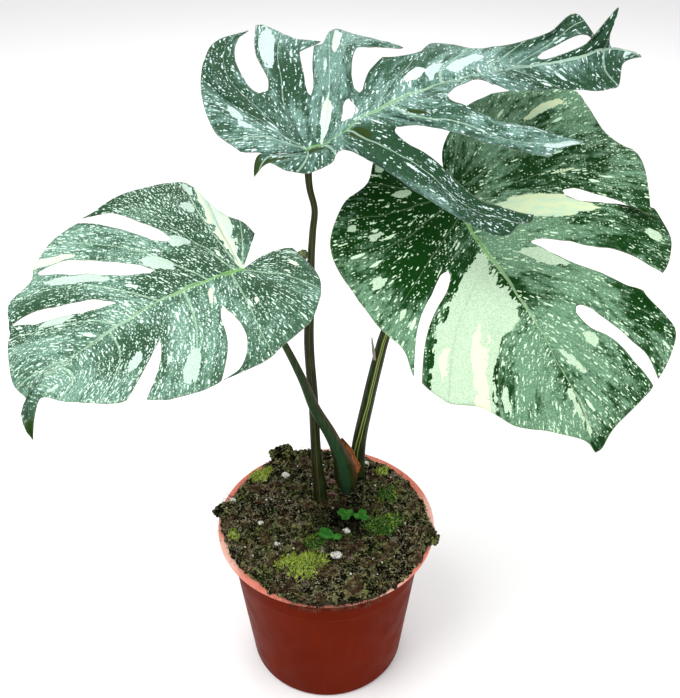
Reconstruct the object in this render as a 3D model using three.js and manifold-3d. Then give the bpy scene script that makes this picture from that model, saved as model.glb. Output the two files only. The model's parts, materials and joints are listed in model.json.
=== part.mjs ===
// A variegated monstera with three leaves in a round plastic nursery pot.
// Millimetres, +Z up, origin in the middle of the pot's underside, camera side towards -Y.
import * as THREE from 'three'
import { mergeVertices } from 'three/addons/utils/BufferGeometryUtils.js'
import Module from 'manifold-3d'

const wasm = await Module()
wasm.setup()

// Pot
const RIM_RADIUS = 60
const POT_HEIGHT = 98
const BASE_RADIUS = 44.5
const WALL = 1.2
const FLOOR = 1.5
const STEP_HEIGHT = 75
const STEP_RADIUS = 52.3
const STEP_OUT = 0.9
const NECK_RADIUS = 54.4
const LIP_DROP = 3.4
const BASE_BEVEL = 1.2
const POT_SIDES = 48
const DRAIN_HOLES = 6
const DRAIN_RADIUS = 3
const DRAIN_CIRCLE = 31

// Soil, with the clearance that every two touching pieces keep
const CLEARANCE = 0.35
const SOIL_RADIUS = 56.5
const SOIL_CENTRE = 101.2
const SOIL_FALL = 2.2
const SOIL_RINGS = 5
const SOIL_SIDES = 40
const STEM_DEPTH = 22
const STEM_HOLE_SLACK = 0.5

// Blades
const BLADE_THICKNESS = 0.9
const BLADE_ROWS = 8
const FULL_OPENING = 0.5
const SPLIT_ROW_REACH = 0.35 / BLADE_ROWS
const FLAP_THICKNESS = 0.8

// Moss cushions: how uneven their outline is, and how far the top falls to its edge
const CUSHION_WOBBLE = 0.14
const CUSHION_FALL = 0.85

const GREEN = 0x2f5a3c
const GREY_GREEN = 0x6b8f7c
const STEM_GREEN = 0x35451f
const TERRACOTTA = 0x7c2a16
const SOIL_BROWN = 0x2a211a
const DRY_BROWN = 0x7a4526
const LIME_MOSS = 0x9fb43a
const DARK_MOSS = 0x3c6a1e
const SPROUT_GREEN = 0x3f8f2c
const PERLITE_WHITE = 0xd9d6cc

// Each blade is described in its own frame: mm along the midrib's heading, mm to its left, mm up.
// A vein starts at a fraction of the midrib and passes through its points to the margin.
// A split is the gap after a vein, between two fractions of the vein's length.
const LEFT_LEAF = {
  base: [-35, -20, 268],
  heading: 210,
  midrib: [[0, 0, 0], [20, 0, -1], [48, 0, -7], [76, 1, -18],
    [97.7, 0.1, -31], [100.4, 0.7, -40], [101.2, -0.5, -54]],
  left: {
    veins: [
      [0, [-12.2, -5.4, 1], [-27.9, -6.3, 1]],
      [0, [-19, 2, 0], [-28.9, 12.6, -1]],
      [0, [-15, 12, -1], [-24.7, 26.6, -3]],
      [0, [-6, 21, -2], [-12.9, 40.6, -6]],
      [0.03, [5, 26, -3], [5, 49.7, -8]],
      [0.05, [11.2, 30.9, -4], [16.5, 54, -10]],
      [0.06, [16.3, 20.7, -2], [17.4, 40.8, -6], [27, 53.4, -10], [34.4, 53.2, -13]],
      [0.1, [19.6, 17.8, -3], [24.7, 38.1, -8], [34.7, 53.4, -13]],
      [0.18, [28.1, 25.3, -5], [42.2, 52.8, -15]],
      [0.27, [38.3, 20.9, -6], [51.5, 49.6, -17]],
      [0.33, [46.4, 21.2, -8], [52.2, 32.7, -12], [62.7, 43.8, -19]],
      [0.37, [48.5, 20, -9], [57.8, 30.2, -14], [69.4, 38.6, -20]],
      [0.5, [63.6, 17.2, -14], [78.1, 31.8, -22]],
      [0.62, [77, 13, -20], [87.3, 20.2, -25]],
      [0.72, [85, 9, -24], [91.5, 11.2, -28]],
      [0.8, [94, 5.2, -29], [95.9, 5, -31]],
      [1],
    ],
    splits: [
      { after: 6, from: 0.32, to: 1 },
      { after: 10, from: 0.391, to: 1 },
    ],
  },
  right: {
    veins: [
      [0, [-5.7, -7.1, 2], [-16.8, -21.8, 4]],
      [0, [-8, -15, 4], [-14.4, -30.3, 7]],
      [0, [-4, -25, 5], [-7.7, -46.3, 9]],
      [0, [-1, -30, 6], [-5.7, -69.9, 12]],
      [0, [5, -28, 6], [3.5, -74.7, 13]],
      [0.02, [11.3, -31, 6], [25.2, -76.1, 12]],
      [0.04, [17, -30.9, 6], [27.1, -51.6, 8], [38.5, -69, 8], [49.9, -69.5, 7]],
      [0.07, [20.2, -19.7, 5], [33.4, -48.2, 6], [43.8, -62.3, 6], [51.4, -70.2, 5]],
      [0.12, [31.6, -28.7, 3], [64.3, -69.3, 0]],
      [0.16, [31.5, -16.9, 1], [51.1, -39.6, 0], [65.4, -54.1, -3], [76, -58, -5]],
      [0.22, [34.8, -10.8, 0], [54.2, -31, -2], [67.6, -44.8, -5], [80.4, -53, -9]],
      [0.3, [53.8, -21.2, -4], [70.9, -39.2, -8], [91.2, -52.3, -17]],
      [0.36, [53.3, -11, -5], [69.4, -25.9, -9], [83.2, -36.5, -15], [94.1, -45.1, -22]],
      [0.4, [53.6, -8.3, -7], [68.9, -19.9, -11], [81.5, -28.9, -16], [95.1, -40.8, -24]],
      [0.52, [76.5, -12.4, -15], [98.6, -33.3, -28]],
      [0.62, [87, -7.1, -23], [102.2, -12.9, -32]],
      [0.74, [96.1, 0, -28], [100.5, 0.9, -33]],
      [1],
    ],
    splits: [
      { after: 6, from: 0.385, to: 1 },
      { after: 9, from: 0.24, to: 0.97 },
      { after: 12, from: 0.19, to: 0.97 },
    ],
  },
}

const TOP_LEAF = {
  base: [-6, 0, 315],
  heading: 18,
  midrib: [[0, 0, 0], [9, 0, 2], [23, 0, 11], [39, 0, 17], [54, 0, 21],
    [86, 0, 25], [118, 0, 27], [149, 0, 29], [157, -2, 26]],
  left: {
    veins: [
      [0, [-14.3, -1, 1], [-28.4, 4.4, 2]],
      [0, [-15, 7, 3], [-30.2, 7.8, 3]],
      [0, [-17, 12, 5], [-35.7, 16, 6]],
      [0, [-17, 17, 6], [-37.3, 31.3, 12]],
      [0, [-16, 21, 8], [-35, 50.7, 17]],
      [0, [-16, 25, 10], [-30, 47, 17], [-29.3, 65.8, 24]],
      [0, [-15, 26, 10], [-25, 50, 18], [-20.9, 78.1, 27]],
      [0, [-13, 27, 10], [-20.6, 49.9, 18], [-16, 73, 26], [-5.4, 82.7, 29]],
      [0, [-10.9, 24.8, 10], [-15.7, 48.1, 18], [-16.3, 61.4, 22], [-9.4, 79.1, 28], [-6.4, 82.1, 29]],
      [0, [-4.1, 27.3, 11], [-5.2, 46.7, 18], [-5.2, 68.5, 24], [-0.1, 85.9, 31]],
      [0, [-2.4, 27, 10], [1.4, 43.4, 17], [5.1, 61.9, 24], [10.6, 74.3, 28]],
      [0, [4.4, 25, 9], [10.4, 39, 17], [11.8, 50.4, 23], [14.7, 62.7, 28]],
      [0, [7.8, 24.2, 8], [13.4, 35.4, 16], [15.8, 44.8, 22], [19.5, 54.4, 28]],
      [0.02, [9.1, 20.9, 9], [15.7, 32.9, 17], [18.9, 41.6, 24], [24.4, 56.2, 28]],
      [0.04, [13.6, 14.5, 8], [19.2, 27.6, 17], [23.6, 42.9, 25], [28, 56.7, 33]],
      [0.06, [18.5, 9.8, 10], [21.6, 19.2, 19], [26.4, 35.4, 26], [36, 63.5, 31]],
      [0.09, [22.1, 4.2, 12], [26.3, 20.4, 19], [28.1, 25.1, 28], [41.5, 45, 30]],
      [0.12, [25.6, 4, 13], [32.4, 21.2, 19], [39.3, 28.9, 24], [45.6, 31.9, 27]],
      [0.2, [34.3, 7, 17], [48.2, 18, 24], [60.4, 28.1, 28]],
      [0.3, [48, 9, 22], [61, 21, 27], [72.3, 38.3, 29]],
      [0.4, [63, 8, 25], [75, 19, 27], [85.3, 27.1, 28]],
      [0.5, [77, 8, 26], [86, 15, 27], [98.6, 25.7, 28]],
      [0.6, [92, 8, 25], [104, 14, 28], [116.8, 15.1, 35]],
      [0.66, [98.9, 7.9, 25], [114.5, 13.6, 30], [130.8, 15.8, 43]],
      [0.7, [101.5, 7.6, 24], [116.7, 11.8, 29], [133.2, 6.8, 36], [137.6, 9.4, 35]],
      [0.72, [105.2, 6, 24], [115.9, 8.2, 26], [130.5, 8.9, 28], [134.9, 4.7, 35]],
      [0.78, [118.8, 3, 24], [134, 5.1, 29], [144.7, 4, 47]],
      [0.86, [130, 2, 25], [141, 5, 29], [143.6, 5.3, 37]],
      [0.93, [142, 2, 26], [147, 6.8, 28]],
      [1],
    ],
    splits: [
      { after: 8, from: 0.433, to: 1 },
      { after: 11, from: 0.53, to: 1 },
      { after: 15, from: 0.14, to: 0.31 },
      { after: 16, from: 0.45, to: 1 },
      { after: 24, from: 0.414, to: 0.97 },
    ],
  },
  right: {
    veins: [
      [0, [-11.1, -0.6, 0], [-22, -0.8, 1], [-25.2, -5.6, -6]],
      [0, [-12.1, -5.9, 0], [-19.3, -6.9, 0]],
      [0, [-6.3, -11.4, 1], [-12.3, -14, -2]],
      [0, [-2.1, -11.7, 1], [-4.8, -16.2, -3]],
      [0.02, [5.8, -10.1, 2], [5, -17, 0]],
      [0.06, [13, -12, 6], [16.5, -14.9, 3]],
      [0.09, [15, -13, 7], [29, -33, 0], [47, -51, -11], [58.6, -56.3, -20]],
      [0.12, [20, -13, 9], [38.1, -33, 1], [57, -50, -14], [74.2, -56.1, -19]],
      [0.15, [25.2, -13.5, 11], [44.3, -27.6, 3], [59.7, -42.1, -11], [83.2, -52.1, -18]],
      [0.2, [38.4, -6.9, 12], [47.8, -21.2, 13], [68, -41.4, 10], [86.2, -52.7, 7]],
      [0.25, [39.5, -11.4, 16], [53.8, -24.4, 16], [77, -44, 11], [100, -53, 12]],
      [0.3, [49.1, -9.7, 19], [58.5, -16.9, 20], [73.8, -32.1, 16], [91.3, -45.7, 14]],
      [0.36, [59.2, -5.4, 22], [74.7, -10, 26], [80, -11.4, 24]],
      [0.46, [71.9, -6.2, 26], [83.8, -8.2, 23], [89.2, -10.5, 20]],
      [0.6, [104, -6, 22], [113.8, -9, 18]],
      [0.75, [123, -4, 21], [131, -11, 16]],
      [0.88, [138, -3, 22], [144, -7, 16]],
      [0.95, [146, -1, 25], [148, -2, 24]],
      [1],
    ],
    splits: [
      { after: 8, from: 0.21, to: 1 },
      { after: 11, from: 0.308, to: 1 },
    ],
  },
}

const RIGHT_LEAF = {
  base: [59, 20, 286],
  heading: 300,
  midrib: [[0, 0, 0], [16, 0, -12], [39, 0, -21], [62, 0, -32],
    [84, 0, -46], [105, 0, -63], [112, 0, -73]],
  left: {
    veins: [
      [0, [-14.7, 4.3, 15], [-20.4, 13.9, 23]],
      [0, [-16, 12, 18], [-25, 25, 30]],
      [0, [-15, 26, 21], [-24.3, 47.7, 33]],
      [0, [-12, 38, 19], [-14.9, 78, 32]],
      [0, [-7, 44, 15], [-8.5, 86, 24]],
      [0.02, [1, 45, 7], [1.9, 92.1, 11]],
      [0.04, [6.1, 46.1, 2], [19.1, 99.9, 3]],
      [0.06, [17.2, 57.8, -3], [32.5, 68.6, -5], [52, 76.7, -8]],
      [0.08, [23.8, 49.2, -5], [32.4, 66, -7], [41.8, 90.1, -12]],
      [0.14, [36.6, 52, -9], [59.4, 84.2, -19]],
      [0.2, [34, 27, -14], [45.3, 40.6, -16], [58.4, 58.9, -20], [74.4, 65.8, -25]],
      [0.24, [38.3, 22.6, -17], [52.2, 34.9, -22], [67.1, 45.8, -26], [77.6, 51.6, -28]],
      [0.32, [59.7, 28.6, -25], [92, 59.6, -43]],
      [0.38, [65.4, 24, -30], [83.2, 33.1, -39], [94.4, 39.9, -47], [104.7, 39.4, -55]],
      [0.44, [69.5, 11.8, -32], [87.2, 30.4, -43], [106.4, 35.1, -56]],
      [0.55, [87, 14.8, -46], [107.8, 25.4, -60]],
      [0.68, [94, 4, -52], [108.9, 12.2, -67]],
      [0.82, [104, 0, -62], [111.9, 4.3, -71]],
      [1],
    ],
    splits: [
      { after: 7, from: 0.53, to: 1 },
      { after: 10, from: 0.285, to: 1 },
      { after: 13, from: 0.367, to: 1 },
    ],
  },
  right: {
    veins: [
      [0, [-16.9, -11.9, 7], [-22.5, -28.8, 13]],
      [0, [-6, -19, 4], [-14.7, -36.7, 8]],
      [0, [-4, -25, 1], [-11.2, -51.1, 2]],
      [0, [1, -31, -5], [-2.4, -62.4, -6]],
      [0.02, [7, -35, -11], [5.3, -65.5, -15]],
      [0.05, [18, -39, -18], [21.2, -64.1, -24]],
      [0.08, [31, -42, -23], [42.8, -63.1, -31]],
      [0.11, [41.1, -42.9, -28], [51.8, -58.2, -37]],
      [0.14, [29.4, -26.4, -21], [42.8, -44.4, -29], [64.5, -61.4, -42]],
      [0.18, [36.1, -22.7, -21], [47.2, -42.2, -31], [68.4, -60.1, -43]],
      [0.28, [55, -33.8, -33], [77.5, -53, -49]],
      [0.42, [66, -30, -38], [84.6, -40.2, -53]],
      [0.56, [79, -20, -44], [94.5, -31.6, -58]],
      [0.7, [91, -13, -52], [101.9, -17.3, -62]],
      [0.84, [102, -5, -61], [107.8, -5.1, -67]],
      [1],
    ],
    splits: [
      { after: 8, from: 0.317, to: 1 },
    ],
  },
}

// Petioles: places of the centre line, and the radius at each of them
const PETIOLE_LEFT = {
  path: [[11.6, 18, 102], [11.2, 15.1, 114], [9.9, 12, 127], [3.6, 6, 152], [-5.4, 1, 176],
    [-10.4, -4, 196], [-18.4, -9, 221], [-28, -15, 246], [-34.7, -19.8, 266.8]],
  radii: [2.8, 4.4, 4.1, 3.4, 3, 2.4, 2, 1.5, 1.2],
}
const PETIOLE_TOP = {
  path: [[-3.1, 13, 98], [-5.2, 11, 135], [-6.1, 8, 175], [-7.6, 6, 214], [-6.3, 4, 244], [-5.6, 3, 262],
    [-4.6, 2, 276], [-3.6, 1, 288], [-5.5, 1, 297], [-6, 0, 314.1]],
  radii: [3.6, 2.7, 2.7, 2.6, 2.3, 2, 1.9, 1.7, 1.8, 1.2],
}
const PETIOLE_RIGHT = {
  path: [[17.6, 27, 99], [18.1, 26, 128], [22.9, 24, 163], [26.9, 23, 187], [30.8, 23, 206], [39, 22, 229],
    [49, 21, 256], [58.7, 20, 283.8]],
  radii: [3.8, 3.7, 3.4, 3.2, 2.9, 2.3, 1.7, 1.2],
}

// A small repeatable random number
function makeRandom(seed) {
  let state = seed
  return () => {
    state = (state * 16807) % 2147483647
    return state / 2147483647
  }
}

function vector(values) {
  return new THREE.Vector3(...values)
}

function paint(color, roughness) {
  return new THREE.MeshStandardMaterial({ color, roughness, metalness: 0 })
}

// Cubic step between two values with their slopes
function hermite(a, b, slopeA, slopeB, u) {
  const u2 = u * u
  const u3 = u2 * u
  return (2 * u3 - 3 * u2 + 1) * a + (u3 - 2 * u2 + u) * slopeA + (3 * u2 - 2 * u3) * b + (u3 - u2) * slopeB
}

// Smooth curve through points, its knots spaced by their distance; returns a function of 0 to 1
function curveThrough(points) {
  const knots = [0]
  for (let i = 1; i < points.length; i++) {
    knots.push(knots[i - 1] + Math.hypot(...points[i].map((value, k) => value - points[i - 1][k])))
  }
  const total = knots.at(-1)
  const at = knots.map((knot) => knot / total)
  const last = points.length - 1
  const slopes = points.slice(1).map((point, i) =>
    point.map((value, k) => (value - points[i][k]) / (at[i + 1] - at[i])))
  const tangents = points.map((point, i) => {
    if (last === 1 || i === 0 || i === last) {
      return null
    }
    const before = at[i] - at[i - 1]
    const after = at[i + 1] - at[i]
    return slopes[i].map((value, k) => (slopes[i - 1][k] * after + value * before) / (before + after))
  })
  const end = (slope, inner) => slope.map((value, k) => (inner ? 1.5 * value - 0.5 * inner[k] : value))
  tangents[0] = end(slopes[0], tangents[1])
  tangents[last] = end(slopes[last - 1], last > 1 ? tangents[last - 1] : null)
  return (t) => {
    let i = 0
    while (i < last - 1 && t >= at[i + 1]) {
      i++
    }
    const h = at[i + 1] - at[i]
    const u = (t - at[i]) / h
    return points[i].map((value, k) =>
      hermite(value, points[i + 1][k], tangents[i][k] * h, tangents[i + 1][k] * h, u))
  }
}

// Smooth curve through values at 0, 1, 2 that never turns back
function monotone(values, q) {
  const last = values.length - 1
  const slope = (i) => values[i + 1] - values[i]
  const tangent = (i) => {
    if (i === 0 || i === last) {
      return slope(i === 0 ? 0 : last - 1)
    }
    const product = slope(i - 1) * slope(i)
    return product > 0 ? (2 * product) / (slope(i - 1) + slope(i)) : 0
  }
  const i = Math.min(Math.max(Math.floor(q), 0), last - 1)
  return hermite(values[i], values[i + 1], tangent(i), tangent(i + 1), q - i)
}

// Smooth curve through vectors at 0, 1, 2
function blend(rows, q) {
  const last = rows.length - 1
  const tangent = (i, k) => {
    if (i === 0) {
      return rows[1][k] - rows[0][k]
    }
    if (i === last) {
      return rows[last][k] - rows[last - 1][k]
    }
    return (rows[i + 1][k] - rows[i - 1][k]) / 2
  }
  const i = Math.min(Math.max(Math.floor(q), 0), last - 1)
  return rows[i].map((value, k) => hermite(value, rows[i + 1][k], tangent(i, k), tangent(i + 1, k), q - i))
}

// One half of a blade as a surface of vein number q and fraction t from the midrib to the margin
function bladeHalf(midrib, half) {
  const starts = half.veins.map((vein) => vein[0])
  const curves = half.veins.map(([start, ...points]) => {
    const root = midrib(start)
    if (points.length === 0) {
      return () => [0, 0, 0]
    }
    const curve = curveThrough([root, ...points])
    return (t) => curve(t).map((value, k) => value - root[k])
  })
  const startAt = (q) => monotone(starts, q)
  const point = (q, t) => {
    const offset = blend(curves.map((curve) => curve(t)), q)
    return midrib(startAt(q)).map((value, k) => value + offset[k])
  }
  // how far a split has opened at t, as half a vein spacing
  const opening = (split, t) => {
    const x = (t - split.from) / (split.to - split.from)
    if (x <= 0 || (x >= 1 && split.to < 1)) {
      return 0
    }
    const closing = split.to < 1 ? Math.sqrt(4 * Math.max(1 - x, 0)) : 1
    return FULL_OPENING * Math.min(1, Math.sqrt(6 * x), closing)
  }
  return { half, startAt, point, opening, last: starts.length - 1 }
}

// Fractions t of the rows: even ones, moved to where splits begin or close
function rowLevels(splits) {
  let levels = Array.from({ length: BLADE_ROWS + 1 }, (_, i) => i / BLADE_ROWS)
  for (const value of splits.flatMap((split) => [split.from, split.to]).filter((level) => level < 1)) {
    levels = levels.filter((level) => level === 0 || level === 1 || Math.abs(level - value) > SPLIT_ROW_REACH)
    levels.push(value)
  }
  return [...new Set(levels)].sort((a, b) => a - b)
}

// Points of one half, row by row, each row in the stretches that the splits leave
function halfRows(surface) {
  const { half, last } = surface
  const centres = half.splits.map((split) => split.after + 0.5)
  const ends = [0, ...centres, last]
  return rowLevels(half.splits).map((t) => ends.slice(1).map((_, panel) => {
    const openLeft = panel > 0 ? surface.opening(half.splits[panel - 1], t) : 0
    const openRight = panel < half.splits.length ? surface.opening(half.splits[panel], t) : 0
    const from = ends[panel] + openLeft
    const to = ends[panel + 1] - openRight
    const columns = Math.max(1, Math.round(ends[panel + 1] - ends[panel]))
    return Array.from({ length: columns + 1 }, (_, column) => {
      const q = from + ((to - from) * column) / columns
      return { start: surface.startAt(q), place: surface.point(q, t) }
    })
  }))
}

// The whole blade as one sheet in its own frame: welded points and triangles facing up
function bladeSheet(leaf) {
  const midrib = curveThrough(leaf.midrib)
  const halves = [leaf.left, leaf.right].map((half) => halfRows(bladeHalf(midrib, half)))
  const points = []
  const seen = new Map()
  const weld = (place) => {
    const key = place.map((value) => value.toFixed(2)).join()
    if (!seen.has(key)) {
      seen.set(key, points.length)
      points.push(place)
    }
    return seen.get(key)
  }
  const starts = [...new Set(halves.flatMap((rows) => rows[0].flat().map((node) => node.start.toFixed(4))))]
  const spine = starts.map(Number).sort((a, b) => a - b)
  const spinePoints = spine.map((start) => weld(midrib(start)))
  const triangles = []
  const add = (a, b, c, flip) => {
    if (a !== b && b !== c && a !== c) {
      triangles.push(flip ? [a, c, b] : [a, b, c])
    }
  }
  halves.forEach((rows, side) => {
    const flip = side === 1
    const first = rows[1].flat()
    let i = 0
    let j = 0
    while (i < spine.length - 1 || j < first.length - 1) {
      const stepSpine = j === first.length - 1
        || (i < spine.length - 1 && spine[i + 1] <= first[j + 1].start + 1e-4)
      const outer = weld(first[j].place)
      if (stepSpine) {
        add(spinePoints[i], spinePoints[i + 1], outer, flip)
        i++
      } else {
        add(spinePoints[i], weld(first[j + 1].place), outer, flip)
        j++
      }
    }
    for (let row = 1; row < rows.length - 1; row++) {
      rows[row].forEach((stretch, panel) => {
        const outer = rows[row + 1][panel]
        for (let column = 0; column < stretch.length - 1; column++) {
          const corners = [stretch[column], stretch[column + 1], outer[column + 1], outer[column]]
          const [a, b, c, d] = corners.map((node) => weld(node.place))
          add(a, b, c, flip)
          add(a, c, d, flip)
        }
      })
    }
  })
  return { points, triangles }
}

function geometryOf(points, triangles) {
  const geometry = new THREE.BufferGeometry()
  geometry.setAttribute('position', new THREE.Float32BufferAttribute(points.flat(), 3))
  geometry.setIndex(triangles.flat())
  return geometry
}

// A closed solid from a sheet: two skins half a thickness away, joined along the sheet's edges
function thicken({ points, triangles }, thickness) {
  const skin = geometryOf(points, triangles)
  skin.computeVertexNormals()
  const normals = skin.getAttribute('normal')
  const shifted = (distance) => points.map((place, i) => [
    place[0] + normals.getX(i) * distance,
    place[1] + normals.getY(i) * distance,
    place[2] + normals.getZ(i) * distance,
  ])
  const count = points.length
  const faces = []
  const edges = new Map()
  for (const [a, b, c] of triangles) {
    faces.push([a, b, c], [a + count, c + count, b + count])
    for (const [from, to] of [[a, b], [b, c], [c, a]]) {
      edges.set(`${from},${to}`, [from, to])
    }
  }
  for (const [from, to] of edges.values()) {
    if (!edges.has(`${to},${from}`)) {
      faces.push([from, from + count, to + count], [from, to + count, to])
    }
  }
  return geometryOf([...shifted(thickness / 2), ...shifted(-thickness / 2)], faces)
}

function blade(leaf) {
  const geometry = thicken(bladeSheet(leaf), BLADE_THICKNESS)
  geometry.rotateZ(THREE.MathUtils.degToRad(leaf.heading))
  geometry.translate(...leaf.base)
  return geometry
}

// A tapered round stalk along a path, closed at both ends
function stalk({ path, radii }, depth = 0, sides = 8, steps = 18) {
  const buried = depth > 0 ? [[path[0][0], path[0][1], path[0][2] - depth]] : []
  const curve = new THREE.CatmullRomCurve3([...buried, ...path].map(vector), false, 'centripetal')
  const widths = [...buried.map(() => radii[0]), ...radii]
  const frames = curve.computeFrenetFrames(steps, false)
  const points = []
  const faces = []
  for (let step = 0; step <= steps; step++) {
    const centre = curve.getPointAt(step / steps)
    const place = curve.getUtoTmapping(step / steps) * (widths.length - 1)
    const index = Math.min(Math.floor(place), widths.length - 2)
    const radius = THREE.MathUtils.lerp(widths[index], widths[index + 1], place - index)
    for (let side = 0; side < sides; side++) {
      const angle = (2 * Math.PI * side) / sides
      const spoke = frames.normals[step].clone().multiplyScalar(Math.cos(angle) * radius)
        .addScaledVector(frames.binormals[step], Math.sin(angle) * radius)
      points.push(centre.clone().add(spoke).toArray())
    }
  }
  for (let step = 0; step < steps; step++) {
    for (let side = 0; side < sides; side++) {
      const next = (side + 1) % sides
      const a = step * sides + side
      const b = step * sides + next
      faces.push([a, b, b + sides], [a, b + sides, a + sides])
    }
  }
  const top = steps * sides
  for (let side = 1; side < sides - 1; side++) {
    faces.push([0, side + 1, side], [top, top + side, top + side + 1])
  }
  return geometryOf(points, faces)
}

// Solids for joining and cutting
function solid(geometry) {
  const bare = geometry.clone()
  for (const name of ['normal', 'uv']) {
    bare.deleteAttribute(name)
  }
  const merged = mergeVertices(bare, 1e-4)
  return new wasm.Manifold(new wasm.Mesh({
    numProp: 3,
    vertProperties: new Float32Array(merged.getAttribute('position').array),
    triVerts: new Uint32Array(merged.getIndex().array),
  }))
}

function geometryOfSolid(body) {
  const mesh = body.getMesh()
  const geometry = new THREE.BufferGeometry()
  geometry.setAttribute('position', new THREE.BufferAttribute(new Float32Array(mesh.vertProperties), 3))
  geometry.setIndex(new THREE.BufferAttribute(new Uint32Array(mesh.triVerts), 1))
  return geometry
}

function turned(profile, sides) {
  const geometry = new THREE.LatheGeometry(profile.map(([r, z]) => new THREE.Vector2(r, z)), sides)
  geometry.rotateX(Math.PI / 2)
  return geometry
}

// Thin-walled pot: tapered wall, a small step, a flanged lip turned down, holes in the floor
function pot() {
  const top = POT_HEIGHT
  const profile = [
    [0, 0],
    [BASE_RADIUS - BASE_BEVEL, 0],
    [BASE_RADIUS, BASE_BEVEL],
    [STEP_RADIUS, STEP_HEIGHT],
    [STEP_RADIUS + STEP_OUT, STEP_HEIGHT + 1],
    [NECK_RADIUS, top - 1.8],
    [RIM_RADIUS - WALL, top - 1.8],
    [RIM_RADIUS - WALL, top - LIP_DROP],
    [RIM_RADIUS, top - LIP_DROP],
    [RIM_RADIUS, top - 0.6],
    [RIM_RADIUS - 0.6, top],
    [NECK_RADIUS + 0.4, top],
    [NECK_RADIUS - WALL, top - 1.6],
    [STEP_RADIUS + STEP_OUT - WALL, STEP_HEIGHT + 1.2],
    [STEP_RADIUS - WALL, STEP_HEIGHT + 0.2],
    [BASE_RADIUS - WALL, FLOOR],
    [0, FLOOR],
  ]
  let body = solid(turned(profile, POT_SIDES))
  for (let i = 0; i < DRAIN_HOLES; i++) {
    const angle = (2 * Math.PI * i) / DRAIN_HOLES
    const hole = new THREE.CylinderGeometry(DRAIN_RADIUS, DRAIN_RADIUS, 4 * FLOOR, 12)
    hole.rotateX(Math.PI / 2)
    hole.translate(DRAIN_CIRCLE * Math.cos(angle), DRAIN_CIRCLE * Math.sin(angle), 0)
    body = body.subtract(solid(hole))
  }
  return geometryOfSolid(body)
}

function soilHeight(x, y) {
  return SOIL_CENTRE - SOIL_FALL * Math.min(1, Math.hypot(x, y) / SOIL_RADIUS) ** 2
}

// Soil: fills the pot with clearance, spills a little over the lip, with a hole for each stem
function soil() {
  const gap = CLEARANCE
  const top = POT_HEIGHT
  const profile = [
    [0, FLOOR + gap],
    [BASE_RADIUS - WALL - gap, FLOOR + gap],
    [STEP_RADIUS - WALL - gap, STEP_HEIGHT + 0.2],
    [STEP_RADIUS + STEP_OUT - WALL - gap, STEP_HEIGHT + 1.4],
    [NECK_RADIUS - WALL - gap, top - 1.6],
    [NECK_RADIUS, top + gap],
    [SOIL_RADIUS, top + gap],
  ]
  for (let ring = SOIL_RINGS; ring >= 0; ring--) {
    const r = (SOIL_RADIUS * ring) / SOIL_RINGS
    profile.push([r, soilHeight(r, 0)])
  }
  let body = solid(turned(profile, SOIL_SIDES))
  for (const petiole of [PETIOLE_LEFT, PETIOLE_TOP, PETIOLE_RIGHT]) {
    const wider = { path: petiole.path, radii: petiole.radii.map((radius) => radius + STEM_HOLE_SLACK) }
    body = body.subtract(solid(stalk(wider, STEM_DEPTH + STEM_HOLE_SLACK)))
  }
  return geometryOfSolid(body)
}

// A low cushion lying on the soil
function cushion(x, y, length, width, height, turn) {
  const rings = 3
  const sectors = 10
  const points = []
  const place = (ring, sector, lift) => {
    const angle = (2 * Math.PI * sector) / sectors
    const reach = ring / rings
    const wobble = 1 + CUSHION_WOBBLE * Math.sin(3 * angle + turn)
    const u = length * reach * wobble * Math.cos(angle)
    const v = width * reach * wobble * Math.sin(angle)
    const px = x + u * Math.cos(turn) - v * Math.sin(turn)
    const py = y + u * Math.sin(turn) + v * Math.cos(turn)
    const rise = lift ? height * (1 - CUSHION_FALL * reach ** 2) : 0
    return [px, py, soilHeight(px, py) + CLEARANCE + rise]
  }
  const faces = []
  for (const lift of [true, false]) {
    const base = points.length
    points.push(place(0, 0, lift))
    for (let ring = 1; ring <= rings; ring++) {
      for (let sector = 0; sector < sectors; sector++) {
        points.push(place(ring, sector, lift))
      }
    }
    for (let sector = 0; sector < sectors; sector++) {
      const next = (sector + 1) % sectors
      const fan = [base, base + 1 + sector, base + 1 + next]
      faces.push(lift ? fan : fan.reverse())
      for (let ring = 0; ring < rings - 1; ring++) {
        const a = base + 1 + ring * sectors + sector
        const b = base + 1 + ring * sectors + next
        const pair = [[a, a + sectors, b + sectors], [a, b + sectors, b]]
        faces.push(...(lift ? pair : pair.map((face) => face.reverse())))
      }
    }
  }
  const under = 1 + rings * sectors
  for (let sector = 0; sector < sectors; sector++) {
    const a = 1 + (rings - 1) * sectors + sector
    const b = 1 + (rings - 1) * sectors + ((sector + 1) % sectors)
    faces.push([a, a + under, b + under], [a, b + under, b])
  }
  return geometryOf(points, faces)
}

// A lump with uneven corners whose underside stays above a height
function lump(x, y, z, sizes, seed, detail, floorAt) {
  const random = makeRandom(seed)
  const rough = new THREE.IcosahedronGeometry(1, detail)
  rough.deleteAttribute('normal')
  rough.deleteAttribute('uv')
  const geometry = mergeVertices(rough, 1e-4)
  const positions = geometry.getAttribute('position')
  for (let i = 0; i < positions.count; i++) {
    const swell = 0.8 + 0.35 * random()
    const px = x + positions.getX(i) * sizes[0] * swell
    const py = y + positions.getY(i) * sizes[1] * swell
    const pz = z + positions.getZ(i) * sizes[2] * swell
    positions.setXYZ(i, px, py, floorAt === null ? pz : Math.max(pz, floorAt + 0.02 * random()))
  }
  return geometry
}

// A crumb of expanded rock resting on the soil
function perlite(x, y, radius, seed) {
  const geometry = lump(x, y, 0, [radius, radius * 0.8, radius * 0.7], seed, 0, null)
  geometry.computeBoundingBox()
  geometry.translate(0, 0, soilHeight(x, y) + CLEARANCE - geometry.boundingBox.min.z)
  return geometry
}

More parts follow.
